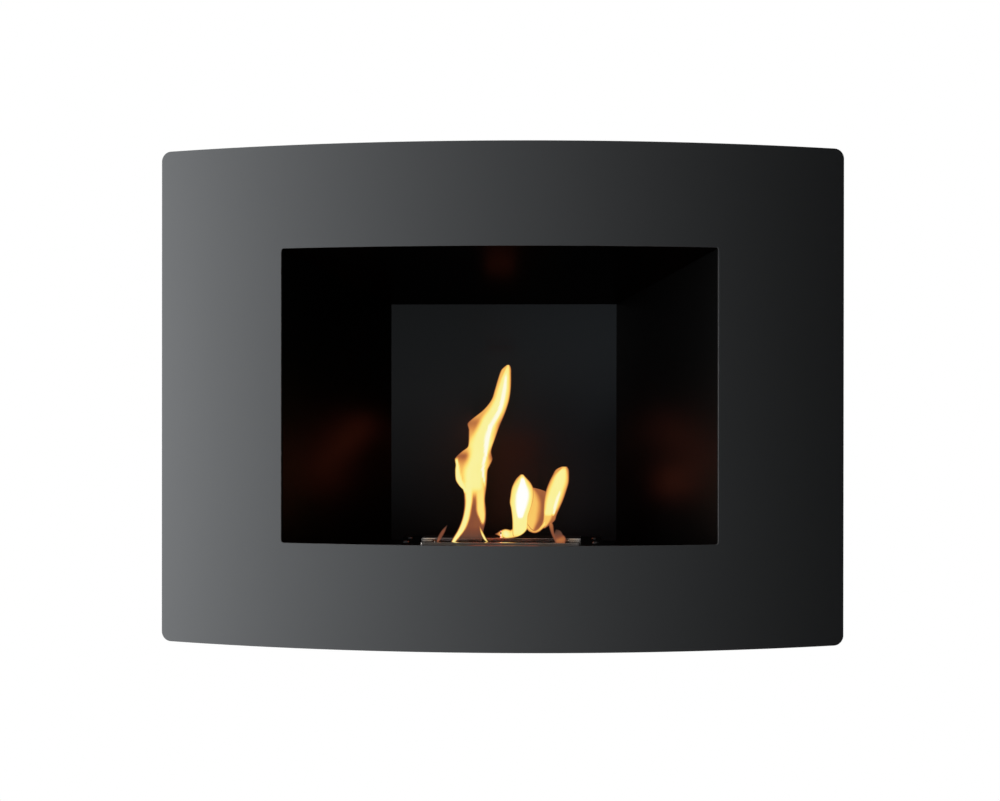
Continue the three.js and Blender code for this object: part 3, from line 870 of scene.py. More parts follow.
@dataclass
class FrontPanel:
    """The rolled sheet with its opening, and the brackets welded to its back."""

    finishes: Finishes
    rise: float = 0.062
    thickness: float = 0.002
    corner: float = 0.01
    opening_width: float = 0.438
    opening_height: float = 0.296
    opening_lift: float = 0.001
    opening_corner: float = 0.003
    edge: float = 0.0004
    bracket_edge: float = 0.0003
    column: float = 0.006
    corner_steps: int = 8
    bead_radius: float = 0.0014
    bead_ripple: float = 0.0016
    bead_length: float = 0.018

    def __post_init__(self) -> None:
        """Takes the panel's outline from the frame."""
        low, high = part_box("front_panel")
        self.half_width = (high.x - low.x) / 2
        self.half_height = (high.z - low.z) / 2
        self.middle_z = (high.z + low.z) / 2
        self.radius = (self.half_width**2 + self.rise**2) / (2 * self.rise)
        self.centre_y = low.y + self.radius

    def depth_at(self, x: float, inset: float = 0) -> float:
        """Returns Y of the panel's face at a place across, or of a face so far behind it."""
        return self.centre_y - math.sqrt((self.radius - inset) ** 2 - x * x)

    def build(self) -> None:
        """Makes the panel and its welds, and dresses the brackets."""
        panel = self._sheet()
        round_edges(panel, self.edge)
        settle(panel, Body.FIREPLACE, self.finishes.panel, ["front_panel"])
        levels, sides = ("top", "bottom"), ("left", "right")
        brackets = [f"panel_bracket_{level}_{side}" for level in levels for side in sides]
        dress(brackets, self.finishes.casing, self.bracket_edge)
        for bracket in brackets:
            self._weld(bracket)

    def _columns(self) -> list:
        """Chooses where the panel's mesh has an upright line.

        Returns:
            The places across the panel, from left to right.
        """
        opening = self.opening_width / 2
        places = set()
        for half, radius in ((self.half_width, self.corner), (opening, self.opening_corner)):
            for step in range(self.corner_steps + 1):
                turn = step * math.pi / 2 / self.corner_steps
                places.add(round(half - radius + radius * math.sin(turn), 7))
        limits = (0, opening - self.opening_corner, opening, self.half_width - self.corner)
        for low, high in zip(limits[:3], limits[1:]):
            if high - low > self.column:
                count = round((high - low) / self.column)
                places.update(round(low + (high - low) * i / count, 7) for i in range(count + 1))
        return sorted(places | {-x for x in places})

    def _rows(self, x: float) -> Tuple[float, float, float, float]:
        """Finds the heights of the sheet's edges at a column.

        Args:
            x: the column's place across.

        Returns:
            The heights, from the foot up.
        """
        def rounded(half: float, limit: float, radius: float) -> float:
            """Returns the half height of a rounded outline, level beyond its side."""
            past = min(max(abs(x) - (limit - radius), 0), radius)
            return half - radius + math.sqrt(radius * radius - past * past)

        outer = rounded(self.half_height, self.half_width, self.corner)
        inner = rounded(self.opening_height / 2, self.opening_width / 2, self.opening_corner)
        lift = self.opening_lift
        return (-outer, lift - inner, lift + inner, outer)

    def _sheet(self) -> Thing:
        """Makes the rolled sheet.

        Returns:
            A closed body.
        """
        columns = self._columns()
        vertices = []
        for inset in (0, self.thickness):
            for x in columns:
                y = self.depth_at(x, inset)
                vertices += [Vector((x, y, self.middle_z + z)) for z in self._rows(x)]
        back = len(vertices) // 2
        fronts = []
        for i in range(len(columns) - 1):
            beside = abs(columns[i] + columns[i + 1]) / 2 > self.opening_width / 2
            for row in (0, 1, 2) if beside else (0, 2):
                a = 4 * i + row
                fronts.append((a, a + 4, a + 5, a + 1))
        faces = fronts + [tuple(back + v for v in reversed(face)) for face in fronts]
        edges = [(f[i], f[(i + 1) % 4]) for f in fronts for i in range(4)]
        inward = {(b, a) for a, b in edges}
        for a, b in edges:
            if (a, b) not in inward:
                faces.append((b, a, back + a, back + b))
        return add_mesh("curved_front_panel", vertices, faces)

    def _weld(self, bracket: str) -> None:
        """Adds a short bead of weld at each side of a bracket.

        Args:
            bracket: the bracket's node.
        """
        low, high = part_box(bracket)
        middle_z = (low.z + high.z) / 2
        for side, x in (("inner", low.x), ("outer", high.x)):
            y = self.depth_at(x, self.thickness)
            foot = Vector((x, y, middle_z - self.bead_length / 2))
            head = foot + Vector((0, 0, self.bead_length))
            name = f"{bracket}_weld_{side}"
            bead = weld_bead(name, [foot, head], self.bead_radius, self.bead_ripple)
            settle(bead, Body.FIREPLACE, self.finishes.casing)


def weld_bead(
    name: str, path: Sequence[Vector], radius: float, ripple: float, closed: bool = False
) -> Thing:
    """Makes a rippled bead along a path of straight runs.

    Args:
        name: the piece's name.
        path: the path's points.
        radius: the bead's radius.
        ripple: the distance between its ripples.
        closed: whether the path ends where it starts.

    Returns:
        The bead.
    """
    around, per_ripple, ripple_height, blunt, taper = 10, 3, 0.14, 0.06, 0.4
    stops = list(path) + ([path[0]] if closed else [])
    points = []
    for start, end in zip(stops, stops[1:]):
        pieces = max(1, round((end - start).length / (ripple / per_ripple)))
        points += [start.lerp(end, i / pieces) for i in range(pieces)]
    if not closed:
        points.append(stops[-1])
    count = len(points)
    vertices = []
    travelled = 0.0
    for i, point in enumerate(points):
        before = points[i - 1] if closed or i else point
        after = points[(i + 1) % count] if closed or i < count - 1 else point
        travelled += (point - before).length if i else 0
        along = (after - before).normalized()
        side = along.orthogonal().normalized()
        other = along.cross(side)
        swell = 1 + ripple_height * math.cos(2 * math.pi * travelled / ripple)
        if not closed:
            swell *= math.sin(math.pi * (blunt + (1 - 2 * blunt) * i / (count - 1))) ** taper
        for k in range(around):
            turn = 2 * math.pi * k / around
            offset = side * math.cos(turn) + other * math.sin(turn)
            vertices.append(point + offset * radius * swell)
    return add_mesh(name, vertices, tube_faces(count, around, closed))


@dataclass
class Fasteners:
    """Button-head socket screws and pop rivets in place of the plain ones."""

    finishes: Finishes
    steps: int = 48
    dome_steps: int = 6
    rim: float = 0.0002
    screw_head: float = 0.0036
    screw_dome: float = 0.002
    screw_shank: float = 0.002
    socket: float = 0.0014
    socket_depth: float = 0.0012
    socket_mouth: float = 1.25
    socket_cone: float = 1.2
    thread: float = 0.0007
    thread_depth: float = 0.00025
    rivet_head: float = 0.0032
    rivet_dome: float = 0.0012
    rivet_shank: float = 0.0016
    rivet_end: float = 0.8
    rivet_chamfer: float = 0.0003
    rivet_bulb: float = 0.0024
    rivet_tail: float = 0.3
    bulb_shoulder: Pair = (0.92, 0.6)
    mandrel: float = 0.0009
    mandrel_hole: float = 1.3
    mandrel_break: Tuple[Pair, ...] = (
        (1.1, 0.0002), (1, 0.0007), (0.8, 0.0004), (0, 0.00035)
    )

    def build(self) -> None:
        """Makes every screw and rivet."""
        ends, sides = ("front", "rear"), ("left", "right")
        heads = {"top": Facing.UP, "bottom": Facing.DOWN}
        flanks = {"left": Facing.LEFT, "right": Facing.RIGHT}
        zinc, black = (Slot.ZINC, self.finishes.zinc), (Slot.BLACKENED, self.finishes.blackened)
        for level, facing in heads.items():
            for side in sides:
                self._screw(f"panel_screw_{level}_{side}", facing, *zinc)
                self._rivet(f"back_rivet_{level}_{side}", flanks[side])
                for end in ends:
                    self._rivet(f"casing_rivet_{level}_{side}_{end}", facing)
        for side in sides:
            for end in ends:
                self._screw(f"shelf_screw_{side}_{end}", flanks[side], *zinc)
                self._screw(f"holder_screw_{side}_{end}", Facing.UP, *black)
            for rank in ("upper", "lower"):
                self._rivet(f"hanger_rivet_{side}_{rank}", Facing.BACK)

    def _seat(self, node: str, facing: Facing, dome: float) -> Tuple[Matrix, float]:
        """Finds where a fastener sits.

        Args:
            node: the fastener's node.
            facing: the way its head looks.
            dome: the height of its head.

        Returns:
            The placement of its seat, with Z outward, and the length below the seat.
        """
        low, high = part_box(node)
        outward = Vector(facing.value)
        reach = abs((high - low).dot(outward)) / 2
        seat = (low + high) / 2 + outward * (reach - dome)
        turn = Vector((0, 0, 1)).rotation_difference(outward).to_matrix().to_4x4()
        return Matrix.Translation(seat) @ turn, 2 * reach - dome

    def _dome(self, radius: float, height: float, inner: float) -> list:
        """Draws a head's lip, and its dome from the rim inward.

        Args:
            radius: the head's radius.
            height: the dome's height.
            inner: the radius at which the dome ends.

        Returns:
            The head's profile.
        """
        last = math.acos(min(inner / radius, 1))
        turns = [last * step / self.dome_steps for step in range(self.dome_steps + 1)]
        scale = height / math.sin(last)
        dome = [(radius * math.cos(turn), scale * math.sin(turn)) for turn in turns]
        return [(radius - self.rim, 0)] + dome

    def _screw(
        self, node: str, facing: Facing, slot: Slot, material: bpy.types.Material
    ) -> None:
        """Makes a screw with a hexagonal socket and a thread.

        Args:
            node: the node that it replaces.
            facing: the way its head looks.
            slot: the record's slot of its finish; not used.
            material: its finish.
        """
        seat, length = self._seat(node, facing, self.screw_dome)
        root = self.screw_shank - self.thread_depth
        profile = [(0, -length), (root, -length)]
        for turn in range(int(length / self.thread)):
            z = -length + (turn + 0.5) * self.thread
            profile += [(self.screw_shank, z), (root, z + self.thread / 2)]
        profile.append((self.screw_shank, 0))
        profile += self._dome(self.screw_head, self.screw_dome, self.socket * self.socket_mouth)
        top, hexagon = profile[-1][1], len(profile) - 1
        profile += [(self.socket, top), (self.socket, top - self.socket_depth)]
        profile.append((0, top - self.socket_depth * self.socket_cone))
        thing = add_lathed(f"{node}_detailed", profile, self.steps, seat, hexagon)
        settle(thing, Body.FIREPLACE, material, [node])

    def _rivet(self, node: str, facing: Facing) -> None:
        """Makes a pop rivet with its broken mandrel in the head.

        Args:
            node: the node that it replaces.
            facing: the way its head looks.
        """
        seat, length = self._seat(node, facing, self.rivet_dome)
        shank, bulb, mandrel = self.rivet_shank, self.rivet_bulb, self.mandrel
        tail, (slim, early) = length * self.rivet_tail, self.bulb_shoulder
        profile = [
            (0, -length), (shank * self.rivet_end, -length),
            (shank, -length + self.rivet_chamfer),
            (bulb * slim, -length + tail * early), (bulb, -length + tail),
            (shank, -length + tail), (shank, 0),
        ]
        profile += self._dome(self.rivet_head, self.rivet_dome, mandrel * self.mandrel_hole)
        top = profile[-1][1]
        profile += [(mandrel * share, top - depth) for share, depth in self.mandrel_break]
        thing = add_lathed(f"{node}_detailed", profile, self.steps, seat)
        settle(thing, Body.FIREPLACE, self.finishes.zinc, [node])


@dataclass
class Casing:
    """The folded casing behind the panel."""

    finishes: Finishes
    edge: float = 0.0003

    def build(self) -> None:
        """Dresses the casing's sheets."""
        sheets = ["casing_top", "casing_bottom", "casing_left", "casing_right", "casing_back"]
        dress(sheets, self.finishes.casing, self.edge)


@dataclass
class Firebox:
    """The splayed box that the fire burns in."""

    finishes: Finishes
    edge: float = 0.0003

    def build(self) -> None:
        """Dresses the walls, the hood, the floor, the fireback and the holder."""
        sheets = ["firebox_wall_left", "firebox_wall_right", "firebox_hood", "firebox_floor"]
        dress(sheets + ["burner_holder"], self.finishes.walls, self.edge)
        dress(["fireback"], self.finishes.fireback, self.edge)


@dataclass
class Burner:
    """The lift-out burner with its regulator lid, wool and screen."""

    finishes: Finishes
    edge: float = 0.00025
    hole: float = 0.006
    pitch: float = 0.012
    margin: float = 0.004
    hole_steps: int = 20
    screen_corner: float = 0.0045
    screen_corner_steps: int = 6
    screen_edge: float = 0.00015
    wool_step: float = 0.0022
    wool_relief: float = 0.0012
    wool_corner: float = 0.0045
    wool_lumps: float = 160
    lump_roughness: float = 0.6
    lump_gap: float = 2.1
    lump_layers: int = 4
    wool_evenness: float = 0.6
    tiny: float = 1e-9
    tank_corner: float = 0.006
    tank_corner_steps: int = 5
    weld_radius: float = 0.0009
    weld_ripple: float = 0.0012
    pin_steps: int = 40
    pin_seat: float = 0.0012
    pin_radius: float = 0.0011
    pin_rim: float = 0.0002
    pin_collar: float = 0.0006
    pin_chamfer: float = 0.0003
    pin_step: float = 0.0001
    pin_waist: float = 0.8
    pin_waist_start: float = 0.0016
    pin_waist_end: float = 3
    pin_bead: float = 0.0011
    pin_bead_start: float = 0.3
    pin_bead_turn: float = 0.77
    pin_bead_steps: int = 6

    def build(self) -> None:
        """Dresses the steel sheets and makes the pin, the screen, the wool and the weld."""
        dress(["burner_tank", "burner_plate", "regulator_lid"], self.finishes.stainless, self.edge)
        self._pin()
        self._screen()
        self._wool()
        self._tank_weld()

    def _pin(self) -> None:
        """Makes the lid's turned pin, with a waist and a rounded head."""
        low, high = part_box("lid_pin")
        middle = (low + high) / 2
        height, shoulder = high.z - low.z, (high.x - low.x) / 2
        seat, rim, neck, bead = self.pin_seat, self.pin_rim, self.pin_radius, self.pin_bead
        waist, chamfer = neck * self.pin_waist, self.pin_chamfer
        collar = seat + self.pin_collar
        profile = [
            (0, 0), (neck, 0), (neck, seat), (shoulder - rim, seat), (shoulder, seat + rim),
            (shoulder, collar), (shoulder - chamfer, collar + chamfer),
            (neck, collar + chamfer + self.pin_step),
            (waist, seat + self.pin_waist_start), (waist, height - self.pin_waist_end * bead),
        ]
        for step in range(self.pin_bead_steps + 1):
            share = step / self.pin_bead_steps - self.pin_bead_start
            turn = math.pi * share * self.pin_bead_turn
            side = max(neck * math.cos(turn), rim)
            profile.append((side, height - bead + bead * math.sin(turn)))
        profile.append((0, height))
        seat_at = Matrix.Translation((middle.x, middle.y, low.z))
        pin = add_lathed("turned_lid_pin", profile, self.pin_steps, seat_at)
        settle(pin, Body.LID, self.finishes.polished, ["lid_pin"])

    def _rows(self, across: float) -> list:
        """Returns the places of the screen's holes across it, from its middle."""
        count = 1 + int((across - self.hole - 2 * self.margin) / self.pitch)
        return [(i - (count - 1) / 2) * self.pitch for i in range(count)]

    def _screen(self) -> None:
        """Makes the perforated plate with round holes."""
        low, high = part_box("wool_screen")
        size = high - low
        middle = (low + high) / 2
        top = Vector((middle.x, middle.y, high.z))
        turns = [2 * math.pi * i / self.hole_steps for i in range(self.hole_steps)]
        circle = [self.hole / 2 * Vector((math.cos(turn), math.sin(turn), 0)) for turn in turns]
        loops = [(top, rounded_loop(size.x, size.y, self.screen_corner, self.screen_corner_steps))]
        for x in self._rows(size.x):
            loops += [(top + Vector((x, y, 0)), circle) for y in self._rows(size.y)]
        work = bmesh.new()
        for centre, points in loops:
            made = [work.verts.new(centre + point) for point in points]
            for first, second in zip(made, made[1:] + made[:1]):
                work.edges.new((first, second))
        bmesh.ops.triangle_fill(work, use_beauty=True, edges=work.edges[:], normal=(0, 0, 1))
        thicken(work, high.z - low.z)
        screen = add_worked("perforated_wool_screen", work)
        round_edges(screen, self.screen_edge)
        settle(screen, Body.BURNER, self.finishes.stainless, ["wool_screen"])

    def _wool(self) -> None:
        """Makes the fibre pad with an uneven, felted surface."""
        low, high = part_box("wool_pad")
        middle, half = (low + high) / 2, (high - low) / 2
        across, back, up = (max(2, round(2 * h / self.wool_step)) for h in half)
        points, faces = grid_box((across, back, up + 1))
        felted = [self._felted(point, half, middle) for point in points]
        wool = add_mesh("ceramic_wool_pad", felted, faces)
        settle(wool, Body.BURNER, self.finishes.wool, ["wool_pad"])

    def _felted(self, unit: Vector, half: Vector, middle: Vector) -> Vector:
        """Roughens a point of the pad's surface.

        Args:
            unit: the point on a cube from -1 to 1.
            half: half the pad's size.
            middle: the pad's middle.

        Returns:
            The point's place.
        """
        corner, outward = self.wool_corner, Vector()
        point = Vector([unit[i] * half[i] for i in range(3)])
        core = Vector([max(corner - half[i], min(half[i] - corner, point[i])) for i in range(3)])
        away = point - core
        if away.length > self.tiny:
            point = core + away.normalized() * min(away.length, corner)
            outward = (point - core).normalized()
        place = (point + middle) * self.wool_lumps
        lumps = noise.fractal(place, self.lump_roughness, self.lump_gap, self.lump_layers)
        even = self.wool_evenness
        pull = self.wool_relief * (even + (1 - even) * min(max(lumps, -1), 1))
        return middle + point - outward * pull

    def _tank_weld(self) -> None:
        """Adds the bead that joins the tank to its plate."""
        low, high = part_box("burner_tank")
        centre = Vector(((low.x + high.x) / 2, (low.y + high.y) / 2, high.z))
        width, depth = high.x - low.x, high.y - low.y
        outline = rounded_loop(width, depth, self.tank_corner, self.tank_corner_steps)
        path = [centre + point for point in outline]
        weld = weld_bead("tank_plate_weld", path, self.weld_radius, self.weld_ripple, closed=True)
        settle(weld, Body.BURNER, self.finishes.stainless)


@dataclass(frozen=True)
class Streak:
    """A hot streak inside a flame: height, middle and half width along it, and its heat."""

    heat: float
    line: Tuple[Triple, ...]


@dataclass(frozen=True)
class Tongue:
    """One tongue of flame.

    The outline gives its left and right edges by height, and the veil the heat of its thin gas.
    """

    name: str
    outline: Tuple[Triple, ...]
    veil: Tuple[Pair, ...]
    streaks: Tuple[Streak, ...]
    depth: float
    lean: float = 0.0


@dataclass(frozen=True)
class Ribbon:
    """One curled ribbon of flame: height, middle, half width and heat along its path."""

    name: str
    path: Tuple[Tuple[float, float, float, float], ...]
    depth: float
    lean: float = 0.0
    drift: float = 0.0


def spread(stations: Sequence[Sequence[float]], height: float) -> Tuple[float, ...]:
    """Reads smoothly between stations.

    Args:
        stations: rows of numbers, of which the first is the height, from the foot up.
        height: where to read.

    Returns:
        The other numbers at that height.
    """
    last = len(stations) - 1
    index = 0
    while index < last - 1 and stations[index + 1][0] < height:
        index += 1
    low, high = stations[index], stations[index + 1]
    before, after = stations[max(index - 1, 0)], stations[min(index + 2, last)]
    share = min(max((height - low[0]) / (high[0] - low[0]), 0), 1)
    values = []
    for k in range(1, len(low)):
        span = high[0] - low[0]
        rise = high[k] - low[k]
        slopes = []
        for left, right in ((before, high), (low, after)):
            slope = (right[k] - left[k]) / (right[0] - left[0]) * span
            limit = 3 * min(abs(rise), abs(slope))
            slopes.append(max(-limit, min(limit, slope)) if slope * rise > 0 else 0)
        square, cube = share * share, share**3
        values.append(
            (2 * cube - 3 * square + 1) * low[k] + (cube - 2 * square + share) * slopes[0]
            + (3 * square - 2 * cube) * high[k] + (cube - square) * slopes[1]
        )
    return tuple(values)


def eased(value: float) -> float:
    """Returns a value between 0 and 1, eased at both ends."""
    held = min(max(value, 0), 1)
    return held * held * (3 - 2 * held)


TALL_FLAME = Tongue(
    "tall_flame",
    (
        (-0.009, -0.0545, -0.0212), (-0.0026, -0.0516, -0.0208), (0.0078, -0.0454, -0.0192),
        (0.0181, -0.0412, -0.0168), (0.0285, -0.0391, -0.0168), (0.0389, -0.0386, -0.0179),
        (0.0493, -0.0397, -0.0168), (0.0534, -0.0438, -0.0163), (0.0597, -0.0475, -0.0158),
        (0.07, -0.048, -0.0151), (0.0752, -0.0475, -0.0127), (0.0815, -0.0485, -0.0101),
        (0.0887, -0.0417, -0.0116), (0.0939, -0.035, -0.0106), (0.1012, -0.034, -0.008),
        (0.1116, -0.034, -0.0044), (0.1178, -0.0355, -0.002), (0.1219, -0.0319, -0.0002),
        (0.1323, -0.0189, 0.0039), (0.1427, -0.0106, 0.007), (0.1531, -0.007, 0.0086),
        (0.1635, -0.0039, 0.0091), (0.1738, -0.0002, 0.0091), (0.177, 0.0029, 0.0086),
        (0.179, 0.0055, 0.0075),
    ),
    (
        (-0.009, -0.12), (-0.0035, -0.08), (0.0005, 0.0), (0.006, 0.06), (0.012, 0.115),
        (0.03, 0.12), (0.043, 0.22), (0.055, 0.3), (0.066, 0.48), (0.0725, 0.46),
        (0.0785, 0.34), (0.0845, 0.19), (0.09, 0.4), (0.096, 0.56), (0.1023, 0.48),
        (0.1107, 0.36), (0.119, 0.24), (0.1265, 0.38), (0.15, 0.48), (0.179, 0.45),
    ),
    (
        Streak(0.75, (
            (0.046, -0.0283, 0.0112), (0.0493, -0.028, 0.0115), (0.0597, -0.0292, 0.0125),
            (0.07, -0.028, 0.0125), (0.0804, -0.0246, 0.0122), (0.0908, -0.0233, 0.0114),
            (0.1012, -0.021, 0.012), (0.1116, -0.0166, 0.0111), (0.1219, -0.0122, 0.0109),
            (0.1323, -0.006, 0.0088), (0.1427, -0.0013, 0.0073), (0.1531, 0.0014, 0.0063),
            (0.1635, 0.0034, 0.0047), (0.178, 0.0065, 0.0012),
        )),
        Streak(0.93, (
            (0.055, -0.0175, 0.001), (0.07, -0.0195, 0.0022), (0.085, -0.0169, 0.0026),
            (0.1012, -0.0153, 0.004), (0.116, -0.0112, 0.0042), (0.132, -0.0023, 0.0035),
            (0.153, 0.0027, 0.003), (0.172, 0.0047, 0.0012),
        )),
        Streak(0.78, (
            (0.046, -0.037, 0.0025), (0.0534, -0.0405, 0.0038), (0.0597, -0.044, 0.0042),
            (0.066, -0.0458, 0.0036), (0.0745, -0.0465, 0.0026), (0.0815, -0.0472, 0.0018),
        )),
        Streak(0.76, (
            (-0.009, -0.0528, 0.0012), (-0.0026, -0.0488, 0.0026), (0.0078, -0.0418, 0.0036),
            (0.0181, -0.0375, 0.0038), (0.0285, -0.0352, 0.0036), (0.0389, -0.034, 0.004),
            (0.06, -0.034, 0.0062),
        )),
        Streak(0.62, (
            (0.0145, -0.0196, 0.0014), (0.0195, -0.0202, 0.003), (0.0245, -0.0211, 0.0045),
            (0.0295, -0.0218, 0.0049), (0.0389, -0.022, 0.0048), (0.06, -0.023, 0.006),
        )),
    ),
    0.0062, 0.003,
)
MIDDLE_FLAME = Tongue(
    "middle_flame",
    (
        (0.0015, 0.0125, 0.0165), (0.004, 0.0118, 0.0215), (0.0098, 0.0117, 0.0263),
        (0.0161, 0.0117, 0.0268), (0.0233, 0.0112, 0.0273),
        (0.0306, 0.0102, 0.0298), (0.0368, 0.0089, 0.0316), (0.0441, 0.0096, 0.0328),
        (0.0514, 0.0108, 0.0322), (0.0576, 0.0134, 0.0292), (0.0617, 0.0159, 0.0256),
        (0.0656, 0.0198, 0.0222),
    ),
    ((0.0015, 0.4), (0.01, 0.54), (0.03, 0.57), (0.0656, 0.4)),
    (
        Streak(0.74, (
            (0.0015, 0.015, 0.004), (0.0098, 0.0188, 0.0095), (0.0368, 0.02, 0.0125),
            (0.0514, 0.0212, 0.0105), (0.065, 0.0216, 0.0015),
        )),
        Streak(1.0, (
            (0.0205, 0.0195, 0.003), (0.0265, 0.0198, 0.0055), (0.034, 0.0205, 0.0082),
            (0.0441, 0.0216, 0.0096), (0.0505, 0.0221, 0.008), (0.0565, 0.022, 0.0048),
            (0.0635, 0.0217, 0.0016),
        )),
    ),
    0.0085, -0.002,
)
JOINING_FLAME = Tongue(
    "joining_flame",
    (
        (0.0048, 0.0322, 0.0358), (0.0065, 0.0285, 0.0395), (0.0105, 0.0255, 0.042),
        (0.0181, 0.024, 0.0445), (0.0285, 0.024, 0.046), (0.0389, 0.025, 0.0475),
        (0.0445, 0.026, 0.048), (0.0468, 0.0265, 0.0468), (0.0484, 0.0268, 0.044),
        (0.0497, 0.0272, 0.0405), (0.0508, 0.0276, 0.0365), (0.0516, 0.0282, 0.033),
    ),
    ((0.0048, 0.24), (0.012, 0.16), (0.03, 0.14), (0.042, 0.16), (0.0516, 0.2)),
    (
        Streak(0.5, (
            (0.0048, 0.0285, 0.003), (0.0105, 0.029, 0.0062), (0.0205, 0.029, 0.0105),
            (0.0339, 0.0295, 0.0115), (0.042, 0.0285, 0.0105), (0.0505, 0.028, 0.006),
        )),
    ),
    0.0036, 0.004,
)
RIGHT_FLAME = Tongue(
    "right_flame",
    (
        (0.0098, 0.0412, 0.0445), (0.0135, 0.0416, 0.0497), (0.0181, 0.0432, 0.0548),
        (0.0233, 0.0436, 0.0564), (0.0306, 0.0438, 0.0595), (0.0389, 0.0444, 0.0631),
        (0.0493, 0.0465, 0.0667), (0.0576, 0.0496, 0.069), (0.0649, 0.0532, 0.0693),
        (0.0711, 0.0569, 0.0688), (0.0737, 0.0622, 0.0672),
    ),
    ((0.0098, 0.16), (0.0165, 0.2), (0.028, 0.3), (0.0737, 0.34)),
    (
        Streak(0.74, (
            (0.0225, 0.0475, 0.0038), (0.0265, 0.049, 0.006),
            (0.0306, 0.0508, 0.0075), (0.0389, 0.0532, 0.0088), (0.0493, 0.0565, 0.0092),
            (0.0576, 0.0594, 0.0088), (0.0649, 0.0615, 0.0068), (0.0725, 0.0645, 0.0022),
        )),
        Streak(0.5, (
            (0.0112, 0.0435, 0.0022), (0.0165, 0.0455, 0.0045), (0.0215, 0.0472, 0.0052),
            (0.0275, 0.0485, 0.006),
        )),
        Streak(0.9, (
            (0.024, 0.0535, 0.0012), (0.034, 0.0556, 0.0026), (0.043, 0.0585, 0.0024),
            (0.05, 0.0605, 0.001),
        )),
    ),
    0.0058, 0.001,
)
TONGUES = (TALL_FLAME, MIDDLE_FLAME, JOINING_FLAME, RIGHT_FLAME)
RIBBONS = (
    Ribbon("left_flick", (
        (0.0125, -0.0568, 0.0006, -0.03), (0.0062, -0.0608, 0.0022, 0.09),
        (0.0, -0.0644, 0.0024, 0.06), (-0.0035, -0.0662, 0.0017, 0.12),
        (-0.0075, -0.068, 0.001, 0.05),
    ), 0.0012, 0.002),
    Ribbon("leg_tail", (
        (0.0125, -0.0228, 0.0006, 0.3), (0.008, -0.0214, 0.0014, 0.6),
        (0.003, -0.0193, 0.0017, 0.84), (-0.001, -0.0171, 0.0016, 0.9),
        (-0.0045, -0.0143, 0.0009, 0.8), (-0.0075, -0.0118, 0.0005, 0.5),
    ), 0.001, -0.004),
    Ribbon("curled_flame", (
        (0.022, 0.0195, 0.0025, 0.66), (0.0135, 0.0192, 0.0058, 0.68),
        (0.0066, 0.0158, 0.0056, 0.66), (0.003, 0.0098, 0.0046, 0.64),
        (0.0026, 0.0038, 0.0052, 0.82), (0.0016, -0.0018, 0.0036, 0.5),
        (0.0008, -0.0055, 0.0017, 0.26), (0.0003, -0.0085, 0.0005, 0.12),
    ), 0.0034, -0.004, 0.042),
    Ribbon("joining_rim", (
        (0.0165, 0.0248, 0.0012, 0.5), (0.0118, 0.0268, 0.0022, 0.58),
        (0.008, 0.0302, 0.002, 0.5), (0.0064, 0.0342, 0.0018, 0.46),
        (0.0082, 0.0385, 0.002, 0.5), (0.0125, 0.0428, 0.0024, 0.58),
        (0.018, 0.0466, 0.0028, 0.66), (0.026, 0.0498, 0.0016, 0.66),
    ), 0.0026, 0.0),
    Ribbon("right_tail", (
        (0.0185, 0.0498, 0.0008, 0.3), (0.013, 0.0511, 0.0027, 0.22),
        (0.006, 0.0526, 0.0022, 0.13), (0.0, 0.0548, 0.0019, 0.1),
        (-0.0045, 0.0564, 0.0012, 0.05), (-0.0075, 0.0573, 0.0005, 0.0),
    ), 0.0012, 0.0),
    Ribbon("right_flick", (
        (0.0085, 0.0562, 0.0008, -0.06), (0.0055, 0.0578, 0.004, -0.01),
        (0.0012, 0.0592, 0.0052, 0.1), (-0.0022, 0.0607, 0.0063, 0.23),
        (-0.0065, 0.0612, 0.0045, 0.12),
    ), 0.002, 0.002),
)


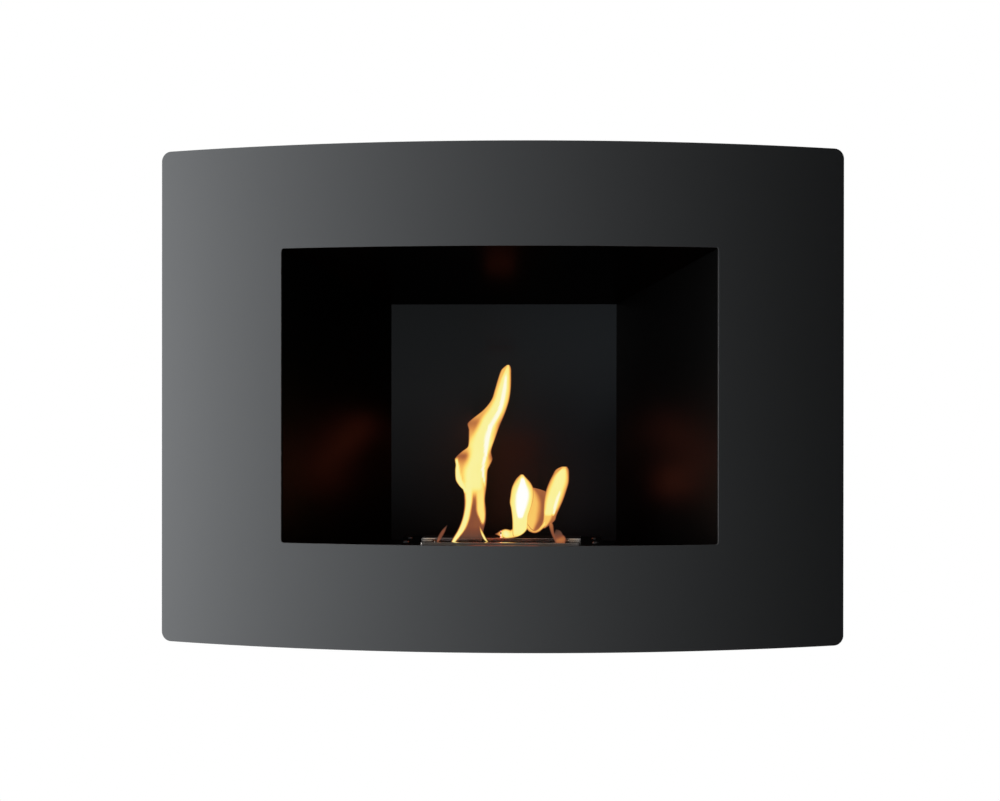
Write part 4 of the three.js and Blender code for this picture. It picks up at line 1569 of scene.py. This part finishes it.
@dataclass
class Flames:
    """The flames that stand in the burner's slot."""

    finishes: Finishes
    slot_middle: Vector
    datum: float = 0.0035
    shift: float = 0.0012
    swell: float = 0.0008
    around: int = 56
    ribbon_around: int = 28
    ring: float = 0.0016
    fewest_rings: int = 6
    ribbon_ring: float = 0.0009
    fewest_ribbon_rings: int = 8
    probe: float = 0.0004
    sway: float = 0.0025
    sway_turn: float = 9
    sway_start: float = 200
    sink: float = 0.0015
    left_share: float = 0.004
    streak_fade: float = 0.12
    streak_core: float = 0.45
    streak_edge: float = 0.75
    end_power: int = 8
    end_share: float = 0.02
    thin_depth: float = 0.45
    hot_depth: float = 0.7
    roundest: float = 0.9
    flattest: float = 0.0007
    rim_cooling: float = 0.3

    def build(self) -> None:
        """Makes each tongue and ribbon, and sets them on the burner."""
        flames = [self._loft(tongue) for tongue in TONGUES]
        flames += [self._curl(ribbon) for ribbon in RIBBONS]
        for flame in flames:
            settle(flame, Body.BURNER, self.finishes.fire)
            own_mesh(flame)

    def _place(self, height: float, x: float, y: float) -> Vector:
        """Returns a point of the fire, from the slot's middle and the outlines' level."""
        return self.slot_middle + Vector((x + self.shift, y, height + self.datum))

    def _heat(self, tongue: Tongue, height: float, x: float) -> float:
        """Mixes a tongue's veil and streaks.

        Args:
            tongue: the tongue.
            height: the place's height above the plate.
            x: the place across.

        Returns:
            The heat at the place.
        """
        veil = spread(tongue.veil, height)[0]
        heat = veil
        for streak in tongue.streaks:
            low, high = streak.line[0][0], streak.line[-1][0]
            inside = min(height - low, high - height) / (self.streak_fade * (high - low)) + 0.5
            middle, half = spread(streak.line, min(max(height, low), high))
            outside = (abs(x - middle) / half - self.streak_core) / self.streak_edge
            share = eased(inside) * (1 - eased(outside))
            heat = max(heat, veil + (streak.heat - veil) * share)
        return heat

    def _loft(self, tongue: Tongue) -> Thing:
        """Makes a closed body through a tongue's outline.

        Args:
            tongue: the tongue.

        Returns:
            The body, with its heat and its inset on its points.
        """
        foot, tip = tongue.outline[0][0], tongue.outline[-1][0]
        rings = max(self.fewest_rings, round((tip - foot) / self.ring))
        sway_start = self.sway_start * tongue.depth
        points = []
        for ring in range(rings + 1):
            share = ring / rings
            height = foot + (tip - foot) * share
            left, right = spread(tongue.outline, height)
            middle, half = (left + right) / 2, (right - left) / 2 + self.swell
            ends = math.sqrt(max(1 - abs(2 * share - 1) ** self.end_power, self.end_share))
            wave = self.sway * math.sin(self.sway_turn * share + sway_start)
            for step in range(self.around):
                turn = 2 * math.pi * step / self.around
                x = middle + half * math.cos(turn)
                heat = self._heat(tongue, height, x)
                thick = tongue.depth * (self.thin_depth + self.hot_depth * max(heat, 0))
                deep = min(thick, max(half * self.roundest, self.flattest)) * ends
                y = tongue.lean + wave * share + deep * math.sin(turn)
                points.append((self._place(height, x, y), heat, half * (1 - abs(math.cos(turn)))))
        return self._close(tongue.name, points, self.around)

    def _curl(self, ribbon: Ribbon) -> Thing:
        """Makes a closed body along a ribbon's path.

        Args:
            ribbon: the ribbon.

        Returns:
            The body, with its heat and its inset on its points.
        """
        stations, travelled = [], 0.0
        for index, row in enumerate(ribbon.path):
            if index:
                before = ribbon.path[index - 1]
                travelled += math.hypot(row[0] - before[0], row[1] - before[1])
            stations.append((travelled, *row))
        rings = max(self.fewest_ribbon_rings, round(travelled / self.ribbon_ring))
        points = []
        for ring in range(rings + 1):
            along = travelled * ring / rings
            height, x, half, heat = spread(stations, along)
            near = spread(stations, max(along - self.probe, 0))
            far = spread(stations, min(along + self.probe, travelled))
            across = Vector((far[0] - near[0], 0, near[1] - far[1])).normalized()
            back = ribbon.lean + ribbon.drift * (ring / rings) ** 2
            for step in range(self.ribbon_around):
                turn = 2 * math.pi * step / self.ribbon_around
                cosine, deep = math.cos(turn), min(ribbon.depth, half) * math.sin(turn)
                place = self._place(height, x, back + deep) + across * half * cosine
                cooled = heat * (1 - self.rim_cooling * cosine * cosine)
                points.append((place, cooled, half * (1 - abs(cosine))))
        return self._close(ribbon.name, points, self.ribbon_around)

    def _close(
        self, name: str, points: Sequence[Tuple[Vector, float, float]], around: int
    ) -> Thing:
        """Joins rings of points to a closed body.

        Args:
            name: the flame's name.
            points: its places, ring by ring, each with its heat and its inset.
            around: the number of points in a ring.

        Returns:
            The body.
        """
        places, heats, insets = zip(*points)
        thing = add_mesh(name, places, tube_faces(len(places) // around, around))
        for layer_name, values in (("warmth", heats), ("inset", insets)):
            layer = thing.data.attributes.new(layer_name, "FLOAT", "POINT")
            layer.data.foreach_set("value", values)
        return thing


@dataclass(frozen=True)
class GlowCard:
    """A small glowing card. Its place is from the slot, and its sides are half sizes."""

    name: str
    place: Triple
    length: Triple
    width: Triple
    strength: float


GLOW_CARDS = (
    GlowCard(
        "tall_flame_glow", (-0.03, 0.062, 0.0915), (0, 0.032, 0.032), (0, -0.007, 0.007), 7.8
    ),
    GlowCard("low_flame_glow", (0.04, 0.055, 0.0535), (0, 0, 0.015), (0, 0.0125, 0), 8.5),
    GlowCard("flame_tip_glow", (-0.004, 0.072, 0.2075), (0.015, 0, 0), (0, 0.01, 0), 1.0),
    GlowCard("fireback_glow", (0.004, -0.006, 0.056), (0, 0, 0.05), (0.035, 0, 0), 4.4),
)


@dataclass
class Firelight:
    """The fire's glow on the walls, the hood and the fireback.

    It comes from cards that the camera doesn't see.
    """

    slot_middle: Vector
    ember: Colour = (1, 0.2, 0.09)
    left_share: float = 0.004

    def build(self) -> None:
        """Makes the cards and sets them on the burner."""
        for card in GLOW_CARDS:
            middle = self.slot_middle + Vector(card.place)
            length, width = Vector(card.length), Vector(card.width)
            corners = [middle + length * i + width * j for i, j in SQUARE]
            thing = add_mesh(card.name, corners, [(0, 1, 2, 3)])
            shader = new_shader(card.name)
            inputs = {"Color": self.ember, "Strength": card.strength}
            shader.output(shader.node("ShaderNodeEmission", inputs=inputs))
            thing.data.materials.append(shader.owner)
            thing.visible_camera = False
            thing.visible_shadow = False
            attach(thing, Body.BURNER.value)
            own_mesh(thing)
            log.info("lit %s", card.name)


@dataclass
class WallHanging:
    """The wall rail, the hangers and the rubber spacers."""

    finishes: Finishes
    edge: float = 0.0003
    steps: int = 48
    chamfer: float = 0.0015
    bulge: float = 0.3
    recess: float = 0.0045
    recess_taper: float = 0.9
    recess_depth: float = 0.004
    groove: float = 0.0008
    rim: float = 0.0004
    lip: float = 0.0006

    def build(self) -> None:
        """Dresses the rail and the hangers and makes the spacers."""
        dress(["wall_rail", "hanger_left", "hanger_right"], self.finishes.zinc, self.edge)
        for side in ("left", "right"):
            self._spacer(f"spacer_{side}")

    def _spacer(self, node: str) -> None:
        """Makes a rubber spacer with a recessed middle and a groove round it.

        Args:
            node: the node that it replaces.
        """
        low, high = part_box(node)
        middle, radius, height = (low + high) / 2, (high.x - low.x) / 2, high.y - low.y
        half, deep, bottom = height / 2, radius - self.groove, height - self.recess_depth
        profile = [
            (0, 0), (radius - self.rim, 0), (radius, self.rim), (radius, half - self.groove),
            (deep, half - self.groove / 2), (deep, half + self.groove / 2),
            (radius, half + self.groove), (radius, height - self.chamfer),
            (radius - self.chamfer * self.bulge, height - self.chamfer * self.bulge),
            (radius - self.chamfer, height), (self.recess + self.lip, height),
            (self.recess, height - self.lip), (self.recess * self.recess_taper, bottom),
            (0, bottom),
        ]
        place = Matrix.Translation((middle.x, low.y, middle.z))
        turn = Matrix.Rotation(-math.pi / 2, 4, "X")
        thing = add_lathed(f"rubber_{node}", profile, self.steps, place @ turn)
        settle(thing, Body.FIREPLACE, self.finishes.rubber, [node])


@dataclass(frozen=True)
class Lamp:
    """A soft white lamp. Its place is from the point that it looks at."""

    name: str
    place: Triple
    width: float
    height: float
    power: float

    def build(self, aim: Vector) -> None:
        """Adds the lamp.

        Args:
            aim: the point that it looks at.
        """
        light = bpy.data.lights.new(self.name, "AREA")
        light.shape = "RECTANGLE"
        light.size = self.width
        light.size_y = self.height
        light.energy = self.power
        thing = bpy.data.objects.new(self.name, light)
        thing.visible_camera = False
        thing.location = aim + Vector(self.place)
        thing.rotation_euler = (aim - thing.location).to_track_quat("-Z", "Y").to_euler()
        bpy.context.scene.collection.objects.link(thing)


LAMPS = (
    Lamp("left_softbox", (-2.0, -0.44, 0), 1.6, 1.2, 107),
    Lamp("rear_left", (-1.7, 1.9, 1.2), 2.6, 2.2, 40),
    Lamp("rear_right", (1.9, 1.8, 0.7), 2.6, 2.2, 40),
)


@dataclass
class Studio:
    """The floor, the lamps, the background and the camera."""

    middle: Vector
    ambient: float = 0.02
    floor_drop: float = 0.75
    floor_size: float = 60
    floor_tone: float = 0.8
    flagged: float = 0.9
    pool: float = 0.55
    pool_start: float = 0.6
    pool_end: float = 1.9
    camera_offset: Pair = (0.0536, -1.476)
    camera_yaw: float = 2.0
    camera_pitch: float = -0.14
    camera_roll: float = -0.055
    sensor: float = 36
    image_width: float = 1000
    focal_pixels: float = 1500

    def build(self) -> None:
        """Makes the whole set."""
        self._world()
        self._floor()
        self._camera()
        for lamp in LAMPS:
            lamp.build(self.middle)

    def _seen(self, shader: Shader) -> Signal:
        """Tells rays that look at the background from those that light.

        Args:
            shader: the background's shader.

        Returns:
            A signal of 1 or 0.
        """
        paths = ("Is Camera Ray", "Is Glossy Ray", "Is Transmission Ray")
        rays = [shader.node("ShaderNodeLightPath", output=path) for path in paths]
        return rays[0].at_least(rays[1]).at_least(rays[2])

    def _world(self) -> None:
        """Makes the background white to look at and dim as a light."""
        shader = Shader(bpy.data.worlds.new("studio"))
        strength = self.ambient + (1 - self.ambient) * self._seen(shader)
        inputs = {"Color": (1, 1, 1), "Strength": strength}
        shader.output(shader.node("ShaderNodeBackground", inputs=inputs))
        bpy.context.scene.world = shader.owner

    def _floor(self) -> None:
        """Makes a pale floor that takes the shadow and fades to white."""
        half = self.floor_size / 2
        level = cad_box[0].z - self.floor_drop
        corners = [Vector((x * half, y * half, level)) for x, y in SQUARE]
        floor = add_mesh("studio_floor", corners, [(0, 1, 2, 3)])
        shader = new_shader("studio_floor")
        x, y = shader.axis("X"), shader.axis("Y")
        distance = (x * x + y * y) ** 0.5
        fade = self.pool + (1 - self.pool) * distance.ease(self.pool_start, self.pool_end)
        bounce = shader.node("ShaderNodeLightPath", output="Is Diffuse Ray")
        tone = shader.shade((self.floor_tone,) * 3, 1 - self.flagged * bounce)
        matt = shader.node("ShaderNodeBsdfDiffuse", inputs={"Color": tone})
        white = shader.node("ShaderNodeEmission", inputs={"Color": (1, 1, 1), "Strength": 1})
        share = self._seen(shader) * fade
        shader.output(shader.node("ShaderNodeMixShader", inputs={0: share, 1: matt, 2: white}))
        floor.data.materials.append(shader.owner)

    def _camera(self) -> None:
        """Puts the camera where the photograph was taken from."""
        camera = bpy.data.cameras.new("camera")
        camera.sensor_width = self.sensor
        camera.lens = camera.sensor_width * self.focal_pixels / self.image_width
        thing = bpy.data.objects.new("camera", camera)
        offset_x, offset_y = self.camera_offset
        place = Vector((offset_x, cad_box[0].y + offset_y, self.middle.z))
        turn = (
            Matrix.Rotation(math.radians(self.camera_yaw), 4, "Z")
            @ Matrix.Rotation(math.radians(self.camera_pitch), 4, "X")
            @ Matrix.Rotation(math.radians(self.camera_roll), 4, "Y")
            @ Matrix.Rotation(math.pi / 2, 4, "X")
        )
        thing.matrix_world = Matrix.Translation(place) @ turn
        bpy.context.scene.collection.objects.link(thing)
        bpy.context.scene.camera = thing
        bpy.context.scene.view_settings.view_transform = "Standard"


def slot_place(
    inset: float = 0.011, margin: float = 0.008, depth: float = 0.026
) -> Tuple[Vector, Pair]:
    """Finds the burner plate's slot.

    Args:
        inset: from the plate's side to the slot's.
        margin: from the plate's front edge to the slot.
        depth: the slot's size from front to back.

    Returns:
        The slot's middle on the plate's upper face, and half its width and depth.
    """
    low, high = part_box("burner_plate")
    middle = Vector(((low.x + high.x) / 2, low.y + margin + depth / 2, high.z))
    return middle, ((high.x - low.x) / 2 - inset, depth / 2)


def main() -> None:
    """Builds the fireplace and its studio."""
    logging.basicConfig(level=logging.INFO, format="%(name)s: %(message)s")
    slot_middle, slot_half = slot_place()
    finishes = Finishes(slot_middle, slot_half)
    panel_low, panel_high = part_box("front_panel")
    panel_middle = Vector((0, panel_low.y, (panel_low.z + panel_high.z) / 2))
    Studio(panel_middle).build()
    for assembly in (
        FrontPanel(finishes),
        Casing(finishes),
        Firebox(finishes),
        Burner(finishes),
        WallHanging(finishes),
        Fasteners(finishes),
        Flames(finishes, slot_middle),
        Firelight(slot_middle),
    ):
        log.info("building %s", type(assembly).__name__)
        assembly.build()
    bpy.context.view_layer.update()


if __name__ == "__main__":
    main()
